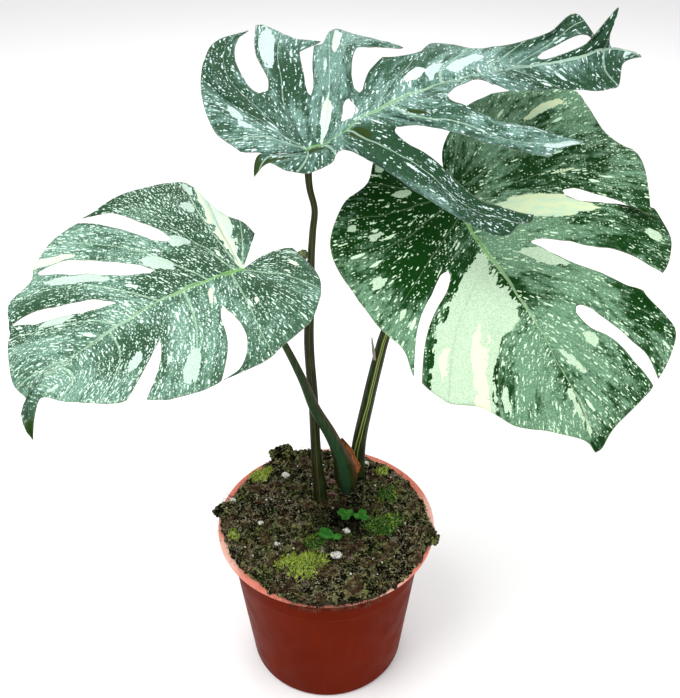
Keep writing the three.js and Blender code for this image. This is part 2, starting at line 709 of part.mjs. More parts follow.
// A seedling: a thin stem and round leaflets around its top
function sprout(x, y, height, leaflets, leafletLength, leafletWidth) {
  const foot = soilHeight(x, y) + CLEARANCE
  const stem = new THREE.CylinderGeometry(0.5, 0.6, height, 6)
  stem.rotateX(Math.PI / 2)
  stem.translate(x, y, foot + height / 2)
  let body = solid(stem)
  leaflets.forEach((direction) => {
    const leaflet = new THREE.SphereGeometry(1, 8, 5)
    leaflet.scale(leafletLength, leafletWidth, 0.5)
    leaflet.rotateY(-0.25)
    leaflet.translate(leafletLength * 0.9, 0, 0)
    leaflet.rotateZ(direction)
    leaflet.translate(x, y, foot + height)
    body = body.add(solid(leaflet))
  })
  return geometryOfSolid(body)
}

// A thin flap between two edges given as equal rows of points
function flap(inner, outer) {
  const points = [...inner, ...outer]
  const count = inner.length
  const triangles = []
  for (let i = 0; i < count - 1; i++) {
    triangles.push([i, i + 1, i + 1 + count], [i, i + 1 + count, i + count])
  }
  return thicken({ points, triangles }, FLAP_THICKNESS)
}

const plant = new THREE.Group()

function piece(name, geometry, material) {
  const mesh = new THREE.Mesh(geometry, material)
  mesh.name = name
  plant.add(mesh)
}

piece('pot', pot(), paint(TERRACOTTA, 0.38))
piece('potting_soil', soil(), paint(SOIL_BROWN, 0.95))

const stem = paint(STEM_GREEN, 0.5)
piece('petiole_left', stalk(PETIOLE_LEFT, STEM_DEPTH), stem)
piece('petiole_top', stalk(PETIOLE_TOP, STEM_DEPTH), stem)
piece('petiole_right', stalk(PETIOLE_RIGHT, STEM_DEPTH), stem)

piece('leaf_left', blade(LEFT_LEAF), paint(GREY_GREEN, 0.45))
piece('leaf_top', blade(TOP_LEAF), paint(GREY_GREEN, 0.45))
piece('leaf_right', blade(RIGHT_LEAF), paint(GREEN, 0.45))

// What is left of dried leaf sheaths on the stems
const dry = paint(DRY_BROWN, 0.8)
piece('dried_sheath', flap(
  [[16.2, 17, 116.6], [14.5, 16.3, 122.6], [12.6, 15.2, 130.1], [10.2, 12.8, 138.6], [8.2, 10.2, 146.9]],
  [[17.6, 17, 115.4], [19.6, 16, 122.9], [17.8, 15, 128.3], [14.3, 13.4, 139], [9.4, 10.8, 148.3]],
), dry)
piece('sheath_wisp', flap(
  [[26.1, 19.4, 192], [25.6, 19.2, 198], [24.1, 19, 206.4]],
  [[24.7, 19.2, 192.6], [24.2, 19, 198.2], [23.6, 18.8, 207]],
), dry)
piece('sheath_nub', lump(-9.5, 0.5, 264.6, [2.6, 1.5, 2.6], 5, 1, null), paint(STEM_GREEN, 0.5))

const lime = paint(LIME_MOSS, 0.9)
const dark = paint(DARK_MOSS, 0.9)
piece('moss_front', cushion(-12, -37, 14, 9, 2.6, 0.1), lime)
piece('moss_middle', cushion(-5, -21, 7, 6, 2.2, 0.6), dark)
piece('moss_right', cushion(32, -8, 12, 6, 3, 0.3), dark)
piece('moss_right_back', cushion(35, 15, 8, 6, 2.4, 1), dark)
piece('moss_back', cushion(32, 36, 5, 4, 2, 0.4), lime)
piece('moss_left_back', cushion(-38, 32, 8, 5, 2.4, 0.7), lime)
piece('moss_left', cushion(-50, -15, 5, 3, 1.6, 1.8), lime)

const white = paint(PERLITE_WHITE, 0.9)
const CRUMBS = [[-24, 32, 2.4], [6, -31, 2.9], [11, -12.5, 2.2], [-26, -22, 1.6], [-36, -6, 1.7],
  [-53, 12, 1.8], [23, 44, 2]]
CRUMBS.forEach(([x, y, radius], i) => {
  piece(`perlite_${i + 1}`, perlite(x, y, radius, 11 + i), white)
})

const shoot = paint(SPROUT_GREEN, 0.55)
piece('seedling', sprout(4, -21, 4, [2.9], 4.2, 3.6), shoot)
piece('clover_left', sprout(11, -3, 4.5, [0.4, 2.5, 4.6], 2.6, 2.2), shoot)
piece('clover_right', sprout(19.5, -5, 4, [1.3, 3.4, 5.5], 2.4, 2), shoot)

const earth = paint(SOIL_BROWN, 0.95)
const EDGE = SOIL_CENTRE - SOIL_FALL + CLEARANCE + 0.25
piece('soil_clump_left', lump(-57.5, 4, EDGE + 1.2, [6, 5, 3], 21, 1, EDGE), earth)
piece('soil_clump_right', lump(56, -16, EDGE + 1.2, [5, 5, 3], 22, 1, EDGE), earth)
piece('soil_clump_back', lump(-26, 49, EDGE + 2.2, [8, 5, 4.5], 23, 1, EDGE), earth)
piece('soil_clump_front', lump(14, -55, EDGE + 0.8, [10, 4, 2], 24, 1, EDGE), earth)

export default plant
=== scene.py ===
"""The looks of a potted variegated monstera, built around its packed CAD model.

Laid out as an add-on: sizes and colours are properties, one operator makes each group of
like pieces, and main() calls them in order. The camera's side is -Y, and +Z is up.
"""
import json
import math

import bmesh
import bpy
import numpy as np
from bpy.props import FloatProperty, FloatVectorProperty, IntProperty, PointerProperty
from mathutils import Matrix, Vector, noise
from mathutils.geometry import delaunay_2d_cdt

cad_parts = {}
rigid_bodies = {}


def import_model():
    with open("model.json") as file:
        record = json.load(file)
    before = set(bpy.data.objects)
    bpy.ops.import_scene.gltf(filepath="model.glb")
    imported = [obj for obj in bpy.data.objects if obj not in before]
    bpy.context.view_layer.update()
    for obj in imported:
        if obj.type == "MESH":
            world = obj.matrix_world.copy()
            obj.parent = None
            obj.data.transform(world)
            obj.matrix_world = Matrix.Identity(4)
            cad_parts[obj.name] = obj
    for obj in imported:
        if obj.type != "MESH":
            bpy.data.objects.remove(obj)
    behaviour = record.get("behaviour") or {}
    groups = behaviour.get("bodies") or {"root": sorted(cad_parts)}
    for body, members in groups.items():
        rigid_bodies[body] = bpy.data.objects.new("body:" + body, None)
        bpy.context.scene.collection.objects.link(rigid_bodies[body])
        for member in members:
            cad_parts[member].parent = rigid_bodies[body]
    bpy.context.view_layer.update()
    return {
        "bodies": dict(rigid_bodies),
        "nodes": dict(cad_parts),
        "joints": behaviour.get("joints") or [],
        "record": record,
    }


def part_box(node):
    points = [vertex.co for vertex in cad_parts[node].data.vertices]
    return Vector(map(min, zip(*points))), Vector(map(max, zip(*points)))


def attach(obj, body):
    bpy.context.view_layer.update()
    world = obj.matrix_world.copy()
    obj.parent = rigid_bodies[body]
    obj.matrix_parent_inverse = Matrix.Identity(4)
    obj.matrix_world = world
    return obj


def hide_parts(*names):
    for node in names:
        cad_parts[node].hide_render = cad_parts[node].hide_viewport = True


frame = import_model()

bl_info = {
    "name": "Potted Variegated Monstera",
    "version": (1, 0, 0),
    "blender": (4, 5, 0),
    "location": "3D View > Sidebar > Monstera",
    "description": "Builds the fine surfaces and finishes of a potted variegated monstera",
    "category": "Object",
}

MM = 0.001

# Pot and soil, in mm, as the packed part has them
POT_LOW, POT_HIGH = (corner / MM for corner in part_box("pot"))
RIM_RADIUS = (POT_HIGH.x - POT_LOW.x) / 2
POT_TOP = POT_HIGH.z
BASE_RADIUS = 44.5
WALL = 1.2
FLOOR = 1.5
STEP_HEIGHT = 75
STEP_RADIUS = 52.3
STEP_OUT = 0.9
NECK_RADIUS = 54.4
LIP_DROP = 3.4
DRAIN_HOLES = 6
DRAIN_RADIUS = 3
DRAIN_CIRCLE = 31
SOIL_CENTRE = 101.2
SOIL_FALL = 2.2
SOIL_RADIUS = 56.5

# Where the soil ends: degrees from +X towards +Y, and mm from the middle
SOIL_EDGE = [
    (-180, 58.4), (-165, 57.4), (-150, 57.2), (-128, 58), (-114, 60), (-104, 61.8), (-66, 61.8),
    (-50, 60.8), (-36, 59.2), (-24, 59.6), (-10, 59), (6, 56), (40, 55.2), (62, 55.5), (90, 57),
    (108, 59), (124, 58.5), (136, 56), (160, 56.5), (180, 58.4),
]
# Rises and hollows of the soil: x, y, reach and height in mm
SOIL_RISES = [
    (-27, 50, 9, 5), (-53, 6, 8, 3), (53, -15, 8, 3), (12, -50, 12, 2.2), (-12, -37, 12, 1.5),
    (-38, 32, 10, 2), (33, 5, 12, 2), (0, 45, 20, 2), (12, -8, 6, -3), (24, -26, 8, -2.2),
    (-24, -8, 9, -1.6), (22, 12, 5, -1.5), (-4, 4, 5, -2),
    (20.5, 20.5, 4.5, 6.5), (25, 16, 4, 3),
]

# Blades: places are mm along the midrib's heading, to its left and up. A vein starts at a
# fraction of the midrib and runs through its points to the margin. The points were fitted to the
# outline in the photograph, at chosen heights. A split lies after a vein, between two fractions
# of its length. Laterals are the vein numbers with a thick rib. A tip pulls the margin: vein
# number, reach, fraction it starts at, and mm. A patch is an area of another colour: its lowest
# vein number and fraction, then its highest.
LEFT_LEAF = {
    "base": (-35, -20, 268),
    "heading": 210,
    "midrib": [
        (0, 0, 0), (20, 0, -1), (48, 0, -7), (76, 1, -18), (97.7, 0.1, -31), (100.4, 0.7, -40),
        (101.2, -0.5, -54),
    ],
    "left": {
        "veins": [
            [0, (-12.2, -5.4, 1), (-27.9, -6.3, 1)],
            [0, (-19, 2, 0), (-28.9, 12.6, -1)],
            [0, (-15, 12, -1), (-24.7, 26.6, -3)],
            [0, (-6, 21, -2), (-12.9, 40.6, -6)],
            [0.03, (5, 26, -3), (5, 49.7, -8)],
            [0.05, (11.2, 30.9, -4), (16.5, 54, -10)],
            [0.06, (16.3, 20.7, -2), (17.4, 40.8, -6), (27, 53.4, -10), (34.4, 53.2, -13)],
            [0.1, (19.6, 17.8, -3), (24.7, 38.1, -8), (34.7, 53.4, -13)],
            [0.18, (28.1, 25.3, -5), (42.2, 52.8, -15)],
            [0.27, (38.3, 20.9, -6), (51.5, 49.6, -17)],
            [0.33, (46.4, 21.2, -8), (52.2, 32.7, -12), (62.7, 43.8, -19)],
            [0.37, (48.5, 20, -9), (57.8, 30.2, -14), (69.4, 38.6, -20)],
            [0.5, (63.6, 17.2, -14), (78.1, 31.8, -22)],
            [0.62, (77, 13, -20), (87.3, 20.2, -25)],
            [0.72, (85, 9, -24), (91.5, 11.2, -28)],
            [0.8, (94, 5.2, -29), (95.9, 5, -31)],
            [1],
        ],
        "splits": [(6, 0.32, 1), (10, 0.391, 1)],
        "laterals": [2, 4.6, 8.4, 12, 13.6, 14.7],
        "tips": [],
        "patches": {
            "yellow": [
                (0.9, 0.65, 1.25, 0.76), (1.45, 0.49, 1.8, 0.6), (3, 0.1, 3.35, 0.2),
                (3.4, 0.07, 3.7, 0.14), (3.8, 0.41, 4.1, 0.5), (3.5, 0.59, 3.75, 0.68),
            ],
            "cream": [(5.5, 0.12, 5.9, 0.25), (7.2, 0.13, 7.6, 0.27)],
            "mint": [
                (8.1, 0.62, 8.9, 0.94), (9.4, 0.6, 9.7, 0.76), (11.3, 0.46, 11.7, 0.7),
                (14.2, 0.5, 14.9, 0.85),
            ],
            "deep": [(0, 0.1, 1.5, 0.8), (2.6, 0.2, 4.4, 0.6), (9.5, 0.2, 12.5, 0.7)],
        },
    },
    "right": {
        "veins": [
            [0, (-5.7, -7.1, 2), (-16.8, -21.8, 4)],
            [0, (-8, -15, 4), (-14.4, -30.3, 7)],
            [0, (-4, -25, 5), (-7.7, -46.3, 9)],
            [0, (-1, -30, 6), (-5.7, -69.9, 12)],
            [0, (5, -28, 6), (3.5, -74.7, 13)],
            [0.02, (11.3, -31, 6), (25.2, -76.1, 12)],
            [0.04, (17, -30.9, 6), (27.1, -51.6, 8), (38.5, -69, 8), (49.9, -69.5, 7)],
            [0.07, (20.2, -19.7, 5), (33.4, -48.2, 6), (43.8, -62.3, 6), (51.4, -70.2, 5)],
            [0.12, (31.6, -28.7, 3), (64.3, -69.3, 0)],
            [0.16, (31.5, -16.9, 1), (51.1, -39.6, 0), (65.4, -54.1, -3), (76, -58, -5)],
            [0.22, (34.8, -10.8, 0), (54.2, -31, -2), (67.6, -44.8, -5), (80.4, -53, -9)],
            [0.3, (53.8, -21.2, -4), (70.9, -39.2, -8), (91.2, -52.3, -17)],
            [0.36, (53.3, -11, -5), (69.4, -25.9, -9), (83.2, -36.5, -15), (94.1, -45.1, -22)],
            [0.4, (53.6, -8.3, -7), (68.9, -19.9, -11), (81.5, -28.9, -16), (95.1, -40.8, -24)],
            [0.52, (76.5, -12.4, -15), (98.6, -33.3, -28)],
            [0.62, (87, -7.1, -23), (102.2, -12.9, -32)],
            [0.74, (96.1, 0, -28), (100.5, 0.9, -33)],
            [1],
        ],
        "splits": [(6, 0.385, 1), (9, 0.24, 0.97), (12, 0.19, 0.97)],
        "laterals": [1.1, 2.3, 3.4, 5.2, 8, 11, 13.6, 15.2],
        "tips": [],
        "patches": {
            "cream": [(1.5, 0.04, 3.0, 1.1), (4.4, 0.02, 4.95, 0.22), (8.75, 0.83, 9.2, 1.1)],
            "mint": [
                (3.0, 0.82, 3.6, 0.98), (3.4, 0.64, 4.2, 0.76), (5.4, 0.3, 7.05, 0.42),
                (7.8, 0.18, 9.2, 0.4), (10.0, 0.4, 10.8, 0.84), (12.8, 0.44, 13.6, 0.73),
            ],
            "deep": [(3.3, 0.2, 6, 1.1), (5.6, 0.02, 11, 0.3), (11.5, 0.3, 14, 1.1)],
        },
    },
}

TOP_LEAF = {
    "base": (-6, 0, 315),
    "heading": 18,
    "midrib": [
        (0, 0, 0), (9, 0, 2), (23, 0, 11), (39, 0, 17), (54, 0, 21), (86, 0, 25), (118, 0, 27),
        (149, 0, 29), (157, -2, 26),
    ],
    "left": {
        "veins": [
            [0, (-14.3, -1, 1), (-28.4, 4.4, 2)],
            [0, (-15, 7, 3), (-30.2, 7.8, 3)],
            [0, (-17, 12, 5), (-35.7, 16, 6)],
            [0, (-17, 17, 6), (-37.3, 31.3, 12)],
            [0, (-16, 21, 8), (-35, 50.7, 17)],
            [0, (-16, 25, 10), (-30, 47, 17), (-29.3, 65.8, 24)],
            [0, (-15, 26, 10), (-25, 50, 18), (-20.9, 78.1, 27)],
            [0, (-13, 27, 10), (-20.6, 49.9, 18), (-16, 73, 26), (-5.4, 82.7, 29)],
            [0, (-10.9, 24.8, 10), (-15.7, 48.1, 18), (-16.3, 61.4, 22), (-9.4, 79.1, 28), (-6.4, 82.1, 29)],
            [0, (-4.1, 27.3, 11), (-5.2, 46.7, 18), (-5.2, 68.5, 24), (-0.1, 85.9, 31)],
            [0, (-2.4, 27, 10), (1.4, 43.4, 17), (5.1, 61.9, 24), (10.6, 74.3, 28)],
            [0, (4.4, 25, 9), (10.4, 39, 17), (11.8, 50.4, 23), (14.7, 62.7, 28)],
            [0, (7.8, 24.2, 8), (13.4, 35.4, 16), (15.8, 44.8, 22), (19.5, 54.4, 28)],
            [0.02, (9.1, 20.9, 9), (15.7, 32.9, 17), (18.9, 41.6, 24), (24.4, 56.2, 28)],
            [0.04, (13.6, 14.5, 8), (19.2, 27.6, 17), (23.6, 42.9, 25), (28, 56.7, 33)],
            [0.06, (18.5, 9.8, 10), (21.6, 19.2, 19), (26.4, 35.4, 26), (36, 63.5, 31)],
            [0.09, (22.1, 4.2, 12), (26.3, 20.4, 19), (28.1, 25.1, 28), (41.5, 45, 30)],
            [0.12, (25.6, 4, 13), (32.4, 21.2, 19), (39.3, 28.9, 24), (45.6, 31.9, 27)],
            [0.2, (34.3, 7, 17), (48.2, 18, 24), (60.4, 28.1, 28)],
            [0.3, (48, 9, 22), (61, 21, 27), (72.3, 38.3, 29)],
            [0.4, (63, 8, 25), (75, 19, 27), (85.3, 27.1, 28)],
            [0.5, (77, 8, 26), (86, 15, 27), (98.6, 25.7, 28)],
            [0.6, (92, 8, 25), (104, 14, 28), (116.8, 15.1, 35)],
            [0.66, (98.9, 7.9, 25), (114.5, 13.6, 30), (130.8, 15.8, 43)],
            [0.7, (101.5, 7.6, 24), (116.7, 11.8, 29), (133.2, 6.8, 36), (137.6, 9.4, 35)],
            [0.72, (105.2, 6, 24), (115.9, 8.2, 26), (130.5, 8.9, 28), (134.9, 4.7, 35)],
            [0.78, (118.8, 3, 24), (134, 5.1, 29), (144.7, 4, 47)],
            [0.86, (130, 2, 25), (141, 5, 29), (143.6, 5.3, 37)],
            [0.93, (142, 2, 26), (147, 6.8, 28)],
            [1],
        ],
        "splits": [(8, 0.433, 1), (11, 0.53, 1), (15, 0.14, 0.31), (16, 0.45, 1), (24, 0.414, 0.97)],
        "laterals": [1.6, 4.2, 6.6, 9.9, 13.9, 18.2, 20, 21.6, 23.4],
        "tips": [
            (11, 0.35, 0.88, (10.2, -1.6, 0)),
            (16, 0.8, 0.8, (14.5, -10.8, -1)),
        ],
        "patches": {
            "cream": [(13.4, 0.02, 14.3, 0.44), (14.2, 0.74, 15.1, 1.0), (18.8, 0.16, 19.5, 0.4)],
            "mint": [
                (9.1, 0.6, 9.8, 1.0), (19.5, 0.08, 19.95, 0.56), (20.1, 0.14, 21.1, 0.7),
                (2.8, 0.62, 3.6, 0.79), (2.3, 0.6, 2.7, 0.74),
            ],
            "grey": [(10.2, 0.1, 12, 0.6), (12.6, 0.25, 15.5, 1.1), (19.5, 0.1, 24, 0.9)],
            "deep": [
                (9.6, 0.4, 11.4, 0.75), (4, 0.4, 7.5, 1.1), (25.2, 0.3, 27.6, 1.1),
                (21.4, 0.6, 24, 1.1),
            ],
        },
    },
    "right": {
        "veins": [
            [0, (-11.1, -0.6, 0), (-22, -0.8, 1), (-25.2, -5.6, -6)],
            [0, (-12.1, -5.9, 0), (-19.3, -6.9, 0)],
            [0, (-6.3, -11.4, 1), (-12.3, -14, -2)],
            [0, (-2.1, -11.7, 1), (-4.8, -16.2, -3)],
            [0.02, (5.8, -10.1, 2), (5, -17, 0)],
            [0.06, (13, -12, 6), (16.5, -14.9, 3)],
            [0.09, (15, -13, 7), (29, -33, 0), (47, -51, -11), (58.6, -56.3, -20)],
            [0.12, (20, -13, 9), (38.1, -33, 1), (57, -50, -14), (74.2, -56.1, -19)],
            [0.15, (25.2, -13.5, 11), (44.3, -27.6, 3), (59.7, -42.1, -11), (83.2, -52.1, -18)],
            [0.2, (38.4, -6.9, 12), (47.8, -21.2, 13), (68, -41.4, 10), (86.2, -52.7, 7)],
            [0.25, (39.5, -11.4, 16), (53.8, -24.4, 16), (77, -44, 11), (100, -53, 12)],
            [0.3, (49.1, -9.7, 19), (58.5, -16.9, 20), (73.8, -32.1, 16), (91.3, -45.7, 14)],
            [0.36, (59.2, -5.4, 22), (74.7, -10, 26), (80, -11.4, 24)],
            [0.46, (71.9, -6.2, 26), (83.8, -8.2, 23), (89.2, -10.5, 20)],
            [0.6, (104, -6, 22), (113.8, -9, 18)],
            [0.75, (123, -4, 21), (131, -11, 16)],
            [0.88, (138, -3, 22), (144, -7, 16)],
            [0.95, (146, -1, 25), (148, -2, 24)],
            [1],
        ],
        "splits": [(8, 0.21, 1), (11, 0.308, 1)],
        "laterals": [2.4, 4.4, 7.0, 10, 12.6, 14, 16],
        "tips": [],
        "patches": {
            "mint": [(9.2, 0.87, 10.2, 1.0)],
            "deep": [(6, 0.1, 8.4, 1.1), (13.6, 0.45, 17, 1.1)],
            # Olive patches are painted shadow, along the midrib and on a fold and a corner in shade
            "olive": [
                (-1, 0.68, 1.2, 1.2), (2.2, 0.14, 4.4, 0.42), (10.1, 0.03, 10.5, 0.34),
                (6.5, 0.02, 7.9, 0.2),
            ],
        },
    },
}

RIGHT_LEAF = {
    "base": (59, 20, 286),
    "heading": 300,
    "midrib": [
        (0, 0, 0), (16, 0, -12), (39, 0, -21), (62, 0, -32), (84, 0, -46), (105, 0, -63), (112, 0, -73),
    ],
    "left": {
        "veins": [
            [0, (-14.7, 4.3, 15), (-20.4, 13.9, 23)],
            [0, (-16, 12, 18), (-25, 25, 30)],
            [0, (-15, 26, 21), (-24.3, 47.7, 33)],
            [0, (-12, 38, 19), (-14.9, 78, 32)],
            [0, (-7, 44, 15), (-8.5, 86, 24)],
            [0.02, (1, 45, 7), (1.9, 92.1, 11)],
            [0.04, (6.1, 46.1, 2), (19.1, 99.9, 3)],
            [0.06, (17.2, 57.8, -3), (32.5, 68.6, -5), (52, 76.7, -8)],
            [0.08, (23.8, 49.2, -5), (32.4, 66, -7), (41.8, 90.1, -12)],
            [0.14, (36.6, 52, -9), (59.4, 84.2, -19)],
            [0.2, (34, 27, -14), (45.3, 40.6, -16), (58.4, 58.9, -20), (74.4, 65.8, -25)],
            [0.24, (38.3, 22.6, -17), (52.2, 34.9, -22), (67.1, 45.8, -26), (77.6, 51.6, -28)],
            [0.32, (59.7, 28.6, -25), (92, 59.6, -43)],
            [0.38, (65.4, 24, -30), (83.2, 33.1, -39), (94.4, 39.9, -47), (104.7, 39.4, -55)],
            [0.44, (69.5, 11.8, -32), (87.2, 30.4, -43), (106.4, 35.1, -56)],
            [0.55, (87, 14.8, -46), (107.8, 25.4, -60)],
            [0.68, (94, 4, -52), (108.9, 12.2, -67)],
            [0.82, (104, 0, -62), (111.9, 4.3, -71)],
            [1],
        ],
        "splits": [(7, 0.53, 1), (10, 0.285, 1), (13, 0.367, 1)],
        "laterals": [1.2, 2.8, 4.4, 6, 9, 12, 14.8, 16.6],
        "tips": [],
        "patches": {
            "cream": [
                (7.6, 0.05, 9.1, 0.66), (3.0, 0.58, 3.5, 0.9), (7.1, 0.8, 7.6, 1.1),
                (6.0, 0.5, 6.25, 0.63),
            ],
            "mint": [
                (10.9, 0.18, 11.6, 0.5), (15.35, 0.08, 15.65, 0.5), (16.4, 0.03, 17.8, 0.55),
                (8.85, 0.86, 9.25, 0.96), (14.1, 0.42, 14.6, 0.56),
            ],
            "grey": [(9.4, 0.03, 18, 0.72), (7.6, 0.1, 9.9, 0.4), (0.8, 0.25, 4.6, 1.1)],
        },
    },
    "right": {
        "veins": [
            [0, (-16.9, -11.9, 7), (-22.5, -28.8, 13)],
            [0, (-6, -19, 4), (-14.7, -36.7, 8)],
            [0, (-4, -25, 1), (-11.2, -51.1, 2)],
            [0, (1, -31, -5), (-2.4, -62.4, -6)],
            [0.02, (7, -35, -11), (5.3, -65.5, -15)],
            [0.05, (18, -39, -18), (21.2, -64.1, -24)],
            [0.08, (31, -42, -23), (42.8, -63.1, -31)],
            [0.11, (41.1, -42.9, -28), (51.8, -58.2, -37)],
            [0.14, (29.4, -26.4, -21), (42.8, -44.4, -29), (64.5, -61.4, -42)],
            [0.18, (36.1, -22.7, -21), (47.2, -42.2, -31), (68.4, -60.1, -43)],
            [0.28, (55, -33.8, -33), (77.5, -53, -49)],
            [0.42, (66, -30, -38), (84.6, -40.2, -53)],
            [0.56, (79, -20, -44), (94.5, -31.6, -58)],
            [0.7, (91, -13, -52), (101.9, -17.3, -62)],
            [0.84, (102, -5, -61), (107.8, -5.1, -67)],
            [1],
        ],
        "splits": [(8, 0.317, 1)],
        "laterals": [1, 2.6, 4.2, 6, 10.1, 11.6, 13, 14.2],
        "tips": [],
        "patches": {
            "mint": [
                (9.4, 0.04, 11.5, 1.1), (1.0, 0.43, 1.9, 0.64), (0, 0.83, 0.55, 0.98),
                (2.8, 0.8, 3.15, 0.89), (3.35, 0.62, 3.75, 0.74), (4.95, 0.75, 5.3, 0.92),
                (6.1, 0.77, 6.45, 0.88), (11.7, 0.67, 11.95, 1.0), (13.4, 0.02, 14.6, 0.22),
            ],
            "yellow": [(10.75, 0.46, 11.25, 1.1), (9.6, 0.7, 9.95, 0.93)],
            # Grey here is partly half-pale tissue and partly painted sky reflection, above all near the
            # margin from vein 4.2 to 8.2
            "grey": [(12, 0.1, 15, 1.1), (6.4, 0.78, 8.2, 1.1), (4.2, 0.8, 6.8, 1.1)],
            "deep": [(0, 0, 4, 0.93), (3.9, 0, 6.6, 0.7)],
        },
    },
}

# Petioles: places of the centre line and the radius at each, in mm, fitted to the photograph
PETIOLES = {
    "petiole_left": (
        [(11.6, 18, 102), (11.2, 15.1, 114), (9.9, 12, 127), (3.6, 6, 152), (-5.4, 1, 176),
         (-10.4, -4, 196), (-18.4, -9, 221), (-28, -15, 246), (-34.7, -19.8, 266.8)],
        [2.8, 4.4, 4.1, 3.4, 2.8, 2.15, 1.7, 1.35, 1.2],
    ),
    "petiole_top": (
        [(-3.1, 13, 98), (-5.2, 11, 135), (-6.1, 8, 175), (-7.6, 6, 214), (-6.3, 4, 244),
         (-5.6, 3, 262), (-4.6, 2, 276), (-3.6, 1, 288), (-5.5, 1, 297), (-6, 0, 314.1)],
        [3.6, 2.7, 2.6, 2.5, 2.1, 1.75, 1.6, 1.45, 1.5, 1.8],
    ),
    "petiole_right": (
        [(17.6, 27, 99), (18.1, 26, 128), (22.9, 24, 163), (26.9, 23, 187), (30.8, 23, 206),
         (39, 22, 229), (49, 21, 256), (58.7, 20, 283.8)],
        [3.8, 3.7, 3.4, 3.2, 2.9, 2.3, 1.7, 1.3],
    ),
}
PETIOLE_DEPTH = 22


class PotSettings(bpy.types.PropertyGroup):
    """The pot"""

    sides: IntProperty(name="Sides", description="Flats round the pot", default=144, min=24)
    body: FloatVectorProperty(
        name="Body", description="Colour of the plastic", subtype="COLOR", default=(0.13, 0.0095, 0.0003)
    )
    # Lip: a painted highlight, the top of the lip made far paler than the body as if lit from above
    lip: FloatVectorProperty(
        name="Lip", description="Colour of the faded lip", subtype="COLOR", default=(0.66, 0.2, 0.14)
    )


class SoilSettings(bpy.types.PropertyGroup):
    """The soil and what lies in it"""

    lumps: FloatProperty(
        name="Lumps", description="Height of the soil's lumps", subtype="DISTANCE", default=0.0016
    )
    crumbs: FloatProperty(name="Crumbs", description="Crumbs to a square metre", default=520000, min=0)
    fibres: IntProperty(name="Fibres", description="Peat fibres on the soil", default=1500, min=0)
    # Dark: partly the colour of wet peat and partly painted shade in the gaps between crumbs
    dark: FloatVectorProperty(
        name="Dark", description="Colour of wet peat", subtype="COLOR", default=(0.004, 0.003, 0.001)
    )
    light: FloatVectorProperty(
        name="Light", description="Colour of drier peat", subtype="COLOR", default=(0.2, 0.17, 0.1)
    )


class LeafSettings(bpy.types.PropertyGroup):
    """The leaf blades"""

    thickness: FloatProperty(
        name="Thickness", description="Of the blade", subtype="DISTANCE", default=0.0007
    )
    rows: IntProperty(name="Rows", description="Steps from midrib to margin", default=46, min=8)
    columns: IntProperty(name="Columns", description="Steps from vein to vein", default=5, min=1)
    deep: FloatVectorProperty(
        name="Deep", description="Darkest green", subtype="COLOR", default=(0.002, 0.034, 0.001)
    )
    # Grey: partly the grey green of half-pale tissue and partly painted sky reflection
    grey: FloatVectorProperty(
        name="Grey", description="Grey green of half-pale tissue", subtype="COLOR",
        default=(0.16, 0.3, 0.205),
    )
    mint: FloatVectorProperty(
        name="Mint", description="Pale flecks", subtype="COLOR", default=(0.53, 0.69, 0.545)
    )
    vein: FloatVectorProperty(
        name="Vein", description="Fine side veins", subtype="COLOR", default=(0.42, 0.62, 0.4)
    )
    cream: FloatVectorProperty(
        name="Cream", description="Patches without green", subtype="COLOR", default=(0.64, 0.72, 0.5)
    )
    rib: FloatVectorProperty(
        name="Rib", description="Midrib near the stalk", subtype="COLOR", default=(0.21, 0.5, 0.09)
    )


class StalkSettings(bpy.types.PropertyGroup):
    """The petioles"""

    sides: IntProperty(name="Sides", description="Flats round a petiole", default=28, min=8)
    green: FloatVectorProperty(
        name="Green", description="Main colour", subtype="COLOR", default=(0.016, 0.028, 0.007)
    )
    stripe: FloatVectorProperty(
        name="Stripe", description="Pale lines", subtype="COLOR", default=(0.42, 0.5, 0.14)
    )


class MossSettings(bpy.types.PropertyGroup):
    """Moss and sprouts"""

    tufts: FloatProperty(name="Tufts", description="Tufts to a square metre", default=3400000, min=0)
    length: FloatProperty(
        name="Length", description="Of the longest tuft", subtype="DISTANCE", default=0.0032
    )
    lime: FloatVectorProperty(
        name="Lime", description="Young moss", subtype="COLOR", default=(0.44, 0.56, 0.05)
    )
    dark: FloatVectorProperty(
        name="Dark", description="Old moss", subtype="COLOR", default=(0.035, 0.14, 0.005)
    )
    sprout: FloatVectorProperty(
        name="Sprout", description="Seedlings", subtype="COLOR", default=(0.02, 0.12, 0.012)
    )


class StageSettings(bpy.types.PropertyGroup):
    """Camera, floor and lights"""

    focal: FloatProperty(name="Focal length", description="On a 36 mm sensor, in mm", default=47.97)
    floor: FloatVectorProperty(
        name="Floor", description="Colour of the floor", subtype="COLOR", default=(0.95, 0.95, 0.95)
    )


SETTINGS = {
    "monstera_pot": PotSettings,
    "monstera_soil": SoilSettings,
    "monstera_leaf": LeafSettings,
    "monstera_stalk": StalkSettings,
    "monstera_moss": MossSettings,
    "monstera_stage": StageSettings,
}


# Node trees

